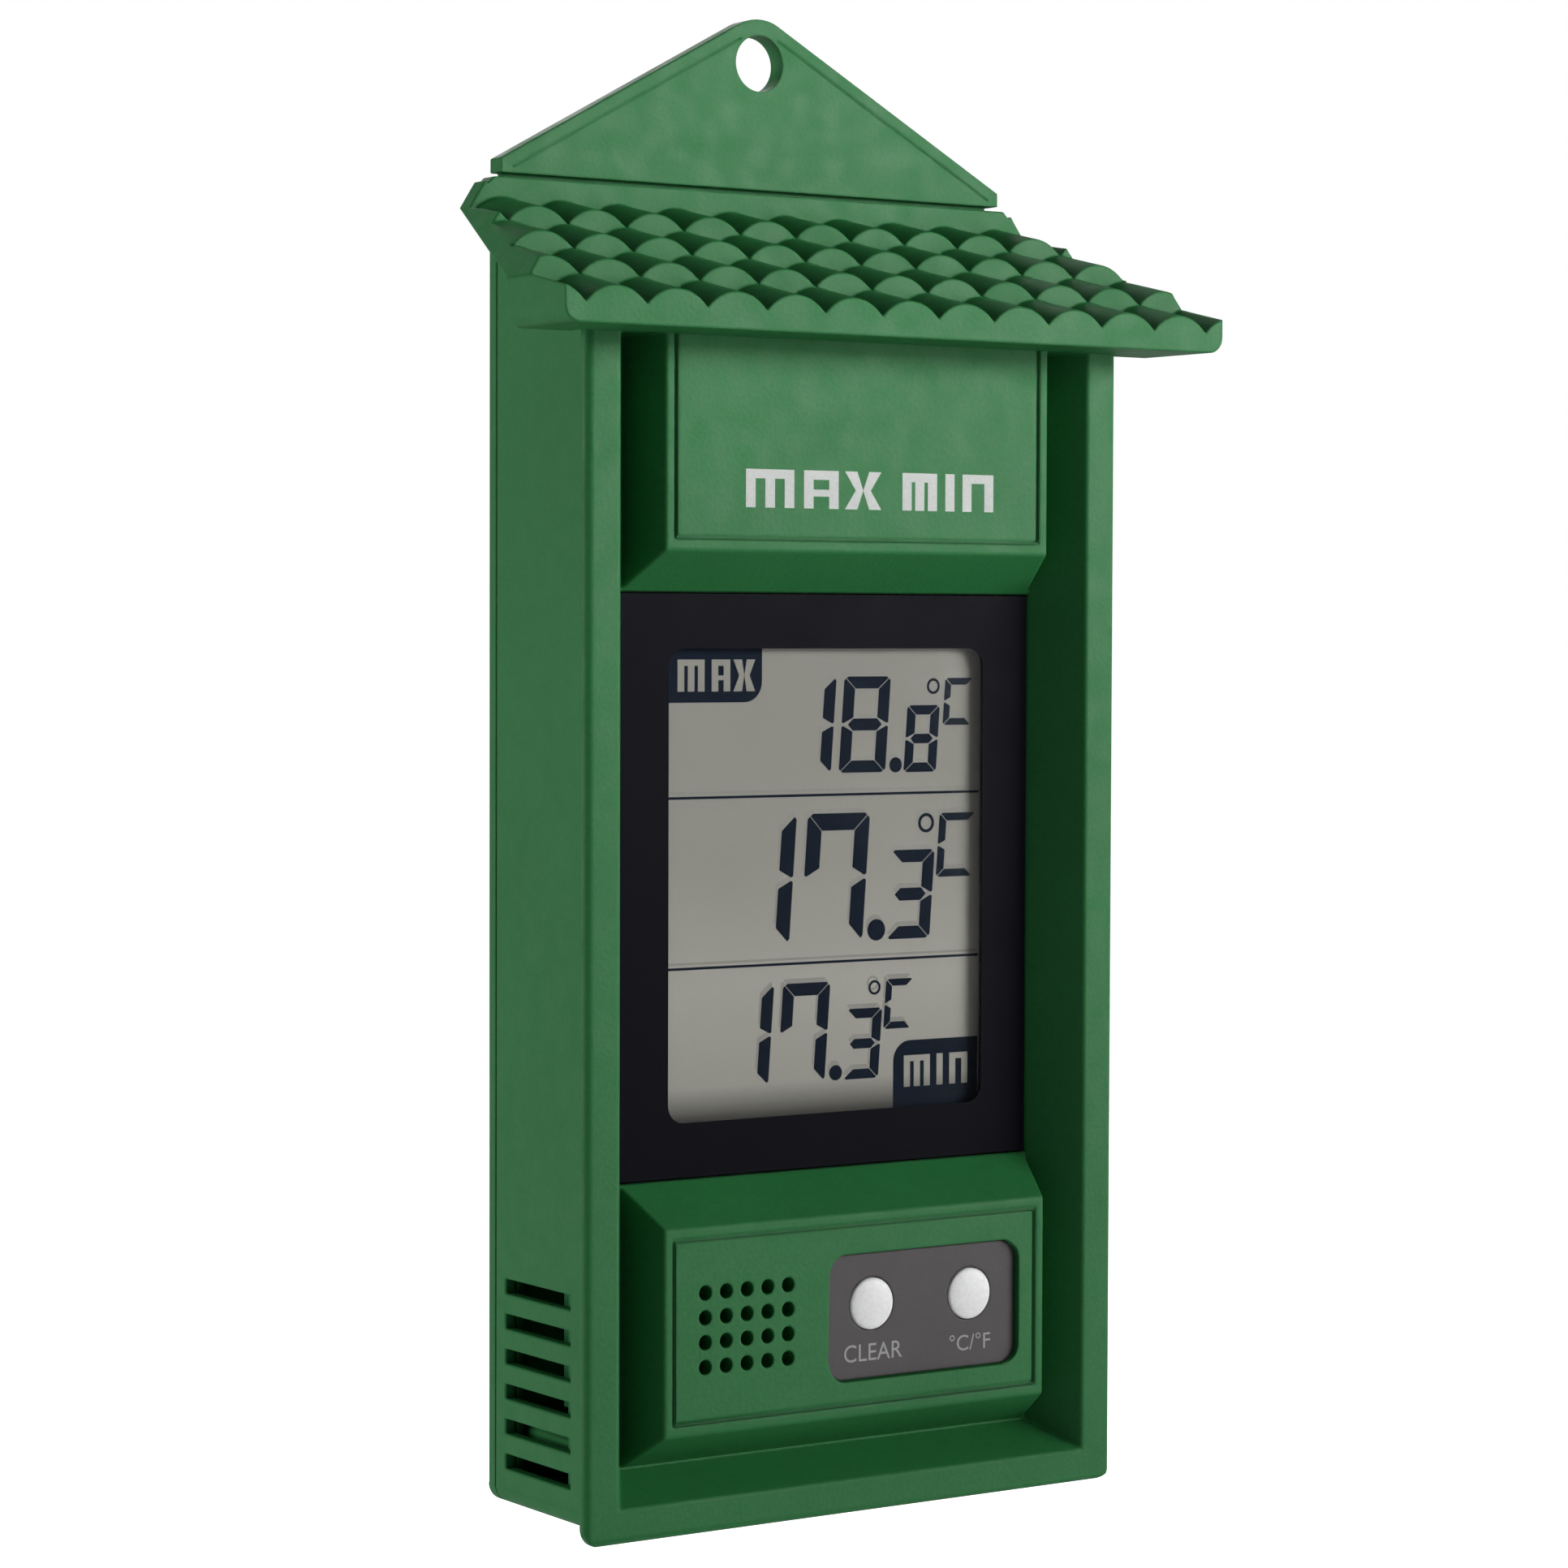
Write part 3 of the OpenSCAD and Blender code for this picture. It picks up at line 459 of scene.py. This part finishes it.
def copyNode(nodeName, pieceName, values):
    # a loose copy of a CAD node, its triangles merged into whole faces
    node = frame["nodes"][nodeName]
    piece = node.copy()
    piece.data = node.data.copy()
    piece.parent = None
    for key in list(piece.keys()):
        del piece[key]
    piece.name = piece.data.name = pieceName
    bpy.context.scene.collection.objects.link(piece)
    makeActive(piece)
    bpy.ops.object.mode_set(mode="EDIT")
    bpy.ops.mesh.select_all(action="SELECT")
    bpy.ops.mesh.remove_doubles(threshold=values["merge"] * mm)
    bpy.ops.mesh.dissolve_limited(angle_limit=math.radians(values["flat"]))
    bpy.ops.object.mode_set(mode="OBJECT")
    return piece


def roundEdges(piece, radius, shortest, values):
    bpy.ops.object.mode_set(mode="EDIT")
    bpy.ops.mesh.select_mode(type="EDGE")
    bpy.ops.mesh.select_all(action="DESELECT")
    bpy.ops.mesh.edges_select_sharp(sharpness=math.radians(values["sharp"]))
    bpy.ops.object.mode_set(mode="OBJECT")
    corners = piece.data.vertices
    # an engraved line keeps its sharp edges: its walls are narrow
    narrow = set()
    for face in piece.data.polygons:
        around = sum((corners[a].co - corners[b].co).length for a, b in face.edge_keys)
        if 2 * face.area / around < values["narrow"] * mm:
            narrow.update(face.edge_keys)
    for edge in piece.data.edges:
        if edge.key in narrow:
            edge.select = False
        first, second = (corners[index].co for index in edge.vertices)
        if (first - second).length < shortest * mm:
            edge.select = False
    bpy.ops.object.mode_set(mode="EDIT")
    bpy.ops.mesh.bevel(offset=radius * mm, segments=values["segments"], affect="EDGES",
        clamp_overlap=False)
    bpy.ops.mesh.select_mode(type="VERT")
    bpy.ops.object.mode_set(mode="OBJECT")


def addMoulding(nodeName, values):
    pieceName, radius, shortest = values["pieces"][nodeName]
    piece = copyNode(nodeName, pieceName, values)
    roundEdges(piece, radius, shortest, values)
    smoothSurface(piece, values["smooth"])
    finishPiece(piece, bodyOf[nodeName], finish[nodeFinish[nodeName]], [nodeName])


for nodeName in softValues["pieces"]:
    addMoulding(nodeName, softValues)
print("mouldings rounded")


# ---- flat printed shapes: drawn on the ground, stood up to face the front, given a thickness

shapeValues = {
    "discSides": 40,
    # shares of a letter's stroke: level bars of a letter, and the arms of an X at its middle and ends
    "headBar": 0.8, "crossBar": 0.6, "armInner": 0.8, "armOuter": 1.3,
}
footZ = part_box("front_frame")[0][2]         # heights of printed shapes are measured up from the foot


def standUp(piece, x, y, z):
    # turns a flat shape drawn on the ground to face the front, and puts its origin at x, y, z
    piece.rotation_euler = (quarterTurn, 0, 0)
    piece.location = (x, y, z)
    applyPlace(piece)


def thicken(piece, thickness):
    # gives a printed shape its thickness, towards the front
    makeActive(piece)
    bpy.ops.object.mode_set(mode="EDIT")
    bpy.ops.mesh.select_all(action="SELECT")
    bpy.ops.mesh.extrude_region_move(TRANSFORM_OT_translate={"value": (0, -thickness, 0)})
    bpy.ops.mesh.select_all(action="SELECT")
    bpy.ops.mesh.normals_make_consistent(inside=False)
    bpy.ops.object.mode_set(mode="OBJECT")


def addPlate(name, left, right, bottom, top, y):
    bpy.ops.mesh.primitive_plane_add(size=1)
    plate = bpy.context.object
    plate.name = name
    plate.scale = ((right - left) * mm, (top - bottom) * mm, 1)
    applyPlace(plate)
    standUp(plate, (left + right) / 2 * mm, y, (bottom + top) / 2 * mm + footZ)
    return plate


def addDisc(x, z, radius, y, hole=0):
    sides = shapeValues["discSides"]
    bpy.ops.mesh.primitive_circle_add(vertices=sides, radius=radius * mm, fill_type="NGON")
    disc = bpy.context.object
    if hole:
        bpy.ops.object.mode_set(mode="EDIT")
        bpy.ops.mesh.select_all(action="SELECT")
        bpy.ops.mesh.inset(thickness=(radius - hole) * mm)
        bpy.ops.mesh.delete(type="FACE")
        bpy.ops.object.mode_set(mode="OBJECT")
    standUp(disc, x * mm, y, z * mm + footZ)
    return disc


def addArm(footLeft, footRight, headLeft, headRight, bottom, top, y):
    # a leaning bar: a plate whose upper and lower edges are moved apart
    arm = addPlate("arm", footLeft, footRight, bottom, top, y)
    middleX, middleZ = (footLeft + footRight) / 2 * mm, (bottom + top) / 2 * mm + footZ
    for vertex in arm.data.vertices:
        if vertex.co.z > middleZ:
            vertex.co.x = (headLeft if vertex.co.x < middleX else headRight) * mm
    return arm


def addLetter(letter, left, right, bottom, top, stroke, y):
    # plain square letters made of bars that meet edge to edge
    middleX, middleZ = (left + right) / 2, (bottom + top) / 2
    if letter == "X":
        half, wide = stroke * shapeValues["armInner"], stroke * shapeValues["armOuter"]
        arms = []
        for inner, outer in ((middleX - half, left), (middleX, right - wide)):
            arms.append(addArm(inner, inner + half, outer, outer + wide, middleZ, top, y))
            arms.append(addArm(outer, outer + wide, inner, inner + half, bottom, middleZ, y))
        return arms
    posts = {"M": (left, middleX - stroke / 2, right - stroke), "A": (left, right - stroke),
             "N": (left, right - stroke), "I": (left,)}[letter]
    head = top if letter == "I" else top - stroke * shapeValues["headBar"]
    bars = [addPlate("post", post, post + stroke, bottom, head, y) for post in posts]
    if letter != "I":
        bars.append(addPlate("bar", left, right, head, top, y))
    if letter == "A":
        low = middleZ - stroke * shapeValues["crossBar"]
        bars.append(addPlate("bar", left + stroke, right - stroke, low, middleZ, y))
    return bars


def addBarWord(name, letters, bottom, top, stroke, y, thickness):
    bars = []
    for letter, left, right in letters:
        bars += addLetter(letter, left, right, bottom, top, stroke, y)
    word = joinPieces(bars, name)
    thicken(word, thickness * mm)
    return word


# ---- display: digits of seven segments, dividing lines and the two corner tabs

displayValues = {
    "thickness": 0.05,      # of the printed shapes
    "slant": 0.07,          # sideways lean of the digits, per unit of height
    "gap": 0.14,            # half the gap between neighbouring segments
    # share of a stroke's width: how far a segment's point leans out, and how much the point, its outer
    # edge, its inner end at the waist and the waist's own segment are cut
    "pointLean": 0.36, "pointCut": 0.14, "outerCut": 0.3, "waistCut": 0.55, "waistBarCut": 0.5,
    "shadow": (-0.35, 0.75, 0.4),   # across, up, and share of the printed thickness
    "ringHole": 0.68,       # share of a degree ring's radius
    "tabSteps": 8,          # of a tab's round corner
    "wordLift": 1.02,       # a tab's word lies this many thicknesses in front of the glass
    # dividing lines: heights of their middles, their width and half their length
    "lines": (111.1, 84.9), "lineWidth": 0.4, "lineHalf": 30.4,
    # glyphs: segments, left, right, bottom, top, width of upright and of level strokes
    "rows": {
        "maxReading": [
            ("bc", -6.5, 2.2, 114.5, 129.6, 2.15, 1.9), ("abcdefg", 3.7, 12.6, 114.5, 129.6, 2.15, 1.9),
            ("abcdefg", 16.0, 22.3, 114.4, 125.0, 1.7, 1.5), ("adef", 23.5, 29.0, 121.8, 129.3, 1.2, 1.1),
        ],
        "currentReading": [
            ("bc", -16.0, -5.4, 88.0, 108.2, 2.65, 2.5), ("abcf", -3.3, 8.5, 88.0, 108.2, 2.75, 2.7),
            ("abcdg", 12.8, 21.3, 88.0, 102.1, 2.2, 2.0), ("adef", 22.4, 29.5, 97.6, 107.8, 1.4, 1.25),
        ],
        "minReading": [
            ("bc", -17.0, -9.4, 66.2, 81.8, 2.15, 1.9), ("abcf", -7.7, 1.2, 66.2, 81.8, 2.15, 2.0),
            ("abcdg", 4.5, 11.3, 66.2, 77.3, 1.75, 1.55), ("adef", 12.2, 17.5, 73.8, 81.7, 1.2, 1.1),
        ],
    },
    # decimal points and degree rings: centre x, centre z, radius
    "dots": {"maxReading": (14.1, 115.6, 1.2), "currentReading": (10.5, 89.6, 1.7),
             "minReading": (2.8, 67.4, 1.2)},
    "rings": {"maxReading": (21.4, 128.0, 1.25), "currentReading": (20.1, 106.3, 1.55),
              "minReading": (10.2, 80.5, 1.15)},
    # tabs: left, right, bottom, top, the corner that is round and its radius
    "tabs": {"maxTab": (-30.4, -11.3, 125.7, 135.0, (1, -1), 3.2),
             "minTab": (13.9, 30.4, 60.6, 71.8, (-1, 1), 3.2)},
    # words in the tabs: each letter's left and right, then bottom, top and stroke
    "words": {
        "maxWord": ((("M", -26.8, -21.9), ("A", -20.6, -17.2), ("X", -16.6, -12.6)), 127.4, 132.3, 1.2),
        "minWord": ((("M", 15.9, 21.0), ("I", 22.3, 23.5), ("N", 24.8, 28.4)), 64.4, 69.4, 1.2),
    },
}

# where each segment lies in a glyph: across, up, and whether it stands upright
segmentPlaces = {
    "a": (0, 1, False), "d": (0, -1, False), "g": (0, 0, False),
    "b": (1, 0.5, True), "c": (1, -0.5, True), "f": (-1, 0.5, True), "e": (-1, -0.5, True),
}

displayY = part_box("display_glass")[0][1]    # front of the display glass


def addSegment(length, width, lean, lowCut, highCut, values):
    # a bar along Y, stretched from a hexagon, its ends cut so that its outer edge (lean) is the longest
    bpy.ops.mesh.primitive_circle_add(vertices=6, radius=width / math.sqrt(3), fill_type="NGON")
    bar = bpy.context.object
    for vertex in bar.data.vertices:
        end = math.copysign(1, vertex.co.y)
        cut = highCut if end > 0 else lowCut
        if abs(vertex.co.x) < width / 10:
            vertex.co.x = lean * width * values["pointLean"]
            vertex.co.y = end * (length / 2 - (cut * values["pointCut"] if lean else 0))
        elif vertex.co.x * lean < 0:
            vertex.co.y = end * (length / 2 - cut)
        else:
            vertex.co.y = end * (length / 2 - (cut * values["outerCut"] if lean else cut))
    return bar


def addGlyph(segments, left, right, bottom, top, upWidth, levelWidth, values):
    bars = []
    middleX, middleZ, gap = (left + right) / 2, (bottom + top) / 2, values["gap"]
    for letter in segments:
        across, up, upright = segmentPlaces[letter]
        if upright:
            x, z = middleX + across * (right - left - upWidth) / 2, middleZ + up * (top - bottom) / 2
            waistCut, endCut = values["waistCut"] * levelWidth * mm, levelWidth * mm
            cuts = (waistCut, endCut) if up > 0 else (endCut, waistCut)
            length = (top - bottom) / 2 - gap
            bar = addSegment(length * mm, upWidth * mm, across, *cuts, values)
        else:
            x, z = middleX, middleZ + up * (top - bottom - levelWidth) / 2
            length = right - left - 2 * gap - (0 if up else upWidth)
            cut = (upWidth if up else values["waistBarCut"] * levelWidth) * mm
            bar = addSegment(length * mm, levelWidth * mm, up, cut, cut, values)
            bar.rotation_euler = (0, 0, quarterTurn)
            applyPlace(bar)
        standUp(bar, x * mm, displayY, z * mm + footZ)
        for vertex in bar.data.vertices:
            vertex.co.x += (vertex.co.z - footZ - middleZ * mm) * values["slant"]
        bars.append(bar)
    return bars


def addShadow(piece, values):
    # what is printed on the front of the cell throws a faint shadow on the film behind it
    across, up, share = values["shadow"]
    makeActive(piece)
    bpy.ops.object.duplicate()
    shadow = bpy.context.object
    shadow.name = piece.name + "Shadow"
    for vertex in shadow.data.vertices:
        vertex.co.y = displayY + (vertex.co.y - displayY) * share
    shadow.location = (across * mm, 0, up * mm)
    applyPlace(shadow)
    finishPiece(shadow, "root", finish["displayShadow"])


def addReading(name, values):
    shapes = []
    for glyph in values["rows"][name]:
        shapes += addGlyph(*glyph, values)
    shapes.append(addDisc(*values["dots"][name], displayY))
    x, z, radius = values["rings"][name]
    shapes.append(addDisc(x, z, radius, displayY, hole=radius * values["ringHole"]))
    reading = joinPieces(shapes, name)
    thicken(reading, values["thickness"] * mm)
    addShadow(reading, values)
    finishPiece(reading, "root", finish["navySegment"])


def addTab(name, values):
    left, right, bottom, top, corner, radius = values["tabs"][name]
    tab = addPlate(name, left, right, bottom, top, displayY)
    middle = Vector(((left + right) / 2 * mm, 0, (bottom + top) / 2 * mm + footZ))
    bpy.ops.object.mode_set(mode="EDIT")
    bpy.ops.mesh.select_mode(type="VERT")
    bpy.ops.mesh.select_all(action="DESELECT")
    bpy.ops.object.mode_set(mode="OBJECT")
    for vertex in tab.data.vertices:
        side = vertex.co - middle
        vertex.select = side.x * corner[0] > 0 and side.z * corner[1] > 0
    bpy.ops.object.mode_set(mode="EDIT")
    bpy.ops.mesh.bevel(offset=radius * mm, segments=values["tabSteps"], affect="VERTICES")
    bpy.ops.object.mode_set(mode="OBJECT")
    thicken(tab, values["thickness"] * mm)
    finishPiece(tab, "root", finish["navySegment"])


for readingName in displayValues["rows"]:
    addReading(readingName, displayValues)
for tabName in displayValues["tabs"]:
    addTab(tabName, displayValues)
wordY = displayY - displayValues["wordLift"] * displayValues["thickness"] * mm
for wordName, wordValues in displayValues["words"].items():
    tabWord = addBarWord(wordName, *wordValues, wordY, displayValues["thickness"])
    finishPiece(tabWord, "root", finish["displayCell"])
half, reach = displayValues["lineWidth"] / 2, displayValues["lineHalf"]
for number, height in enumerate(displayValues["lines"]):
    divider = addPlate(f"displayLine{number + 1}", -reach, reach, height - half, height + half, displayY)
    thicken(divider, displayValues["thickness"] * mm)
    addShadow(divider, displayValues)
    finishPiece(divider, "root", finish["navySegment"])
print("display made")


# ---- printed words on the case: plain and generic

printValues = {
    "thickness": 0.03,
    "curveSteps": 6,        # of the text's curves
    "weld": 0.004,          # mm, between a text's points that are one
    # each letter's left and right, then bottom, top and stroke
    "blockWord": ((("M", -21.5, -12.7), ("A", -10.9, -4.5), ("X", -3.3, 3.5),
                   ("M", 7.5, 14.1), ("I", 15.7, 17.4), ("N", 19.0, 25.0)), 155.4, 161.2, 1.75),
    # text, left, right, bottom, top
    "label": {"clearWord": ("CLEAR", -2.2, 8.8, 23.4, 26.1),
              "unitWord": ("°C/°F", 18.0, 25.9, 23.3, 25.9)},
}
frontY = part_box("front_frame")[0][1]
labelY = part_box("label_plate")[0][1]


def addWord(name, text, left, right, bottom, top, y, values):
    # text made a mesh, then fitted into its box and stood up facing the front
    bpy.ops.object.text_add()
    word = bpy.context.object
    word.data.body = text
    word.data.resolution_u = values["curveSteps"]
    bpy.ops.object.convert(target="MESH")
    word = bpy.context.object
    word.name = name
    across = [vertex.co.x for vertex in word.data.vertices]
    along = [vertex.co.y for vertex in word.data.vertices]
    scaleX = (right - left) * mm / (max(across) - min(across))
    scaleY = (top - bottom) * mm / (max(along) - min(along))
    for vertex in word.data.vertices:
        vertex.co.x = (vertex.co.x - min(across)) * scaleX
        vertex.co.y = (vertex.co.y - min(along)) * scaleY
    bpy.ops.object.mode_set(mode="EDIT")
    bpy.ops.mesh.select_all(action="SELECT")
    bpy.ops.mesh.remove_doubles(threshold=values["weld"] * mm)
    bpy.ops.object.mode_set(mode="OBJECT")
    standUp(word, left * mm, y, bottom * mm + footZ)
    thicken(word, values["thickness"] * mm)
    return word


blockWord = addBarWord("blockWord", *printValues["blockWord"], frontY, printValues["thickness"])
finishPiece(blockWord, "root", finish["caseInk"])
for wordName, wordBox in printValues["label"].items():
    labelWord = addWord(wordName, *wordBox, labelY, printValues)
    finishPiece(labelWord, "root", finish["labelInk"])
print("printing made")


# ---- buttons: domed caps with a collar and a stem behind the case's wall

buttonValues = {
    "sides": 72,
    "capRadius": 4.05, "capDepth": 3.2,
    "domeSteps": 6, "domeRise": 0.5,
    "lastStep": 0.9,        # the dome's last step stops short of the middle
    "collarDepth": 1.0, "stemRadius": 1.8,
    "edge": (0.12, 2, 40),  # radius in mm, steps and least angle of the rounded edges
    "smooth": 50,
}


def addButton(nodeName, pieceName, values):
    low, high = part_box(nodeName)
    middleX, middleZ = (low[0] + high[0]) / 2, (low[2] + high[2]) / 2
    collarRadius = (high[0] - low[0]) / 2
    capFront = low[1] + values["domeRise"] * mm
    radius, depth = values["capRadius"] * mm, values["capDepth"] * mm
    bpy.ops.mesh.primitive_cylinder_add(vertices=values["sides"], radius=radius, depth=depth,
        location=(middleX, capFront + depth / 2, middleZ), rotation=(quarterTurn, 0, 0))
    cap = bpy.context.object
    cap.name = pieceName
    applyPlace(cap)
    # front face drawn in and forward, step by step, into a dome
    selectFaces(cap, lambda centre, normal: normal.y < -alongAxis)
    rise, steps = values["domeRise"] * mm, values["domeSteps"]
    for step in range(steps):
        angle, nextAngle = (quarterTurn * (step + k) / steps for k in (0, 1))
        inward = radius * (math.cos(angle) - math.cos(nextAngle))
        if step == steps - 1:
            inward *= values["lastStep"]
        bpy.ops.mesh.inset(thickness=inward)
        bpy.ops.transform.translate(value=(0, -rise * (math.sin(nextAngle) - math.sin(angle)), 0))
    # back face widened into the collar, then drawn out into the stem
    selectFaces(cap, lambda centre, normal: normal.y > alongAxis)
    bpy.ops.mesh.extrude_region_move()
    widen = collarRadius / radius
    bpy.ops.transform.resize(value=(widen, 1, widen))
    bpy.ops.mesh.extrude_region_move(TRANSFORM_OT_translate={"value": (0, values["collarDepth"] * mm, 0)})
    bpy.ops.mesh.inset(thickness=collarRadius - values["stemRadius"] * mm)
    reach = high[1] - (capFront + depth + values["collarDepth"] * mm)
    bpy.ops.mesh.extrude_region_move(TRANSFORM_OT_translate={"value": (0, reach, 0)})
    bpy.ops.object.mode_set(mode="OBJECT")
    softenEdges(cap, *values["edge"])
    smoothSurface(cap, values["smooth"])
    finishPiece(cap, bodyOf[nodeName], finish["whiteCap"], [nodeName])


addButton("clear_button", "clearButtonCap", buttonValues)
addButton("unit_button", "unitButtonCap", buttonValues)
print("buttons made")


# ---- battery: jacket with rolled ends, and the positive end's steel cap

batteryValues = {
    "sides": 72, "shoulder": 0.9, "lip": 0.35,
    "rolledEdge": (0.25, 3, 40),    # radius in mm, steps and least angle
    # positive end: steel cap, how far its middle lies behind the jacket's end, and its nub
    "capSides": 64, "capInset": 1.08, "capDepth": 0.3, "capSunk": 0.1,
    "nubRadius": 1.9, "nubLength": 1.0,
    "pressedEdge": (0.15, 3, 30),
    "smooth": 50,
}


def addJacket(values, low, length, radius, middle):
    bpy.ops.mesh.primitive_cylinder_add(vertices=values["sides"], radius=radius, depth=length,
        location=(low[0] + length / 2, middle.y, middle.z), rotation=(0, quarterTurn, 0))
    jacket = bpy.context.object
    jacket.name = "batteryJacket"
    applyPlace(jacket)
    # rolled lips of the jacket at both ends, then the ends set back into it
    for side in (-1, 1):
        inward = -side * values["lip"] * mm
        selectFaces(jacket, lambda centre, normal: normal.x * side > alongAxis)
        bpy.ops.mesh.inset(thickness=values["shoulder"] * mm)
        bpy.ops.mesh.extrude_region_move(TRANSFORM_OT_translate={"value": (inward, 0, 0)})
        bpy.ops.object.mode_set(mode="OBJECT")
    softenEdges(jacket, *values["rolledEdge"])
    smoothSurface(jacket, values["smooth"])
    finishPiece(jacket, "root", finish["cellJacket"], ["battery"])


def addPositiveCap(values, low, high, length, radius, middle):
    capRadius = radius - values["capInset"] * mm
    depth, sunk = values["capDepth"] * mm, values["capSunk"] * mm
    bpy.ops.mesh.primitive_cylinder_add(vertices=values["capSides"], radius=capRadius, depth=depth,
        location=(low[0] + length - sunk, middle.y, middle.z), rotation=(0, quarterTurn, 0))
    cap = bpy.context.object
    cap.name = "batteryPositiveCap"
    applyPlace(cap)
    selectFaces(cap, lambda centre, normal: normal.x > alongAxis)
    bpy.ops.mesh.inset(thickness=capRadius - values["nubRadius"] * mm)
    reach = high[0] - (low[0] + length + depth / 2 - sunk)
    bpy.ops.mesh.extrude_region_move(TRANSFORM_OT_translate={"value": (reach, 0, 0)})
    bpy.ops.object.mode_set(mode="OBJECT")
    softenEdges(cap, *values["pressedEdge"])
    smoothSurface(cap, values["smooth"])
    finishPiece(cap, "root", finish["nickelContact"])


def addBattery(values):
    low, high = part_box("battery")
    middle = (Vector(low) + Vector(high)) / 2
    radius = (high[2] - low[2]) / 2
    length = high[0] - low[0] - values["nubLength"] * mm
    addJacket(values, low, length, radius, middle)
    addPositiveCap(values, low, high, length, radius, middle)


addBattery(batteryValues)
print("battery made")
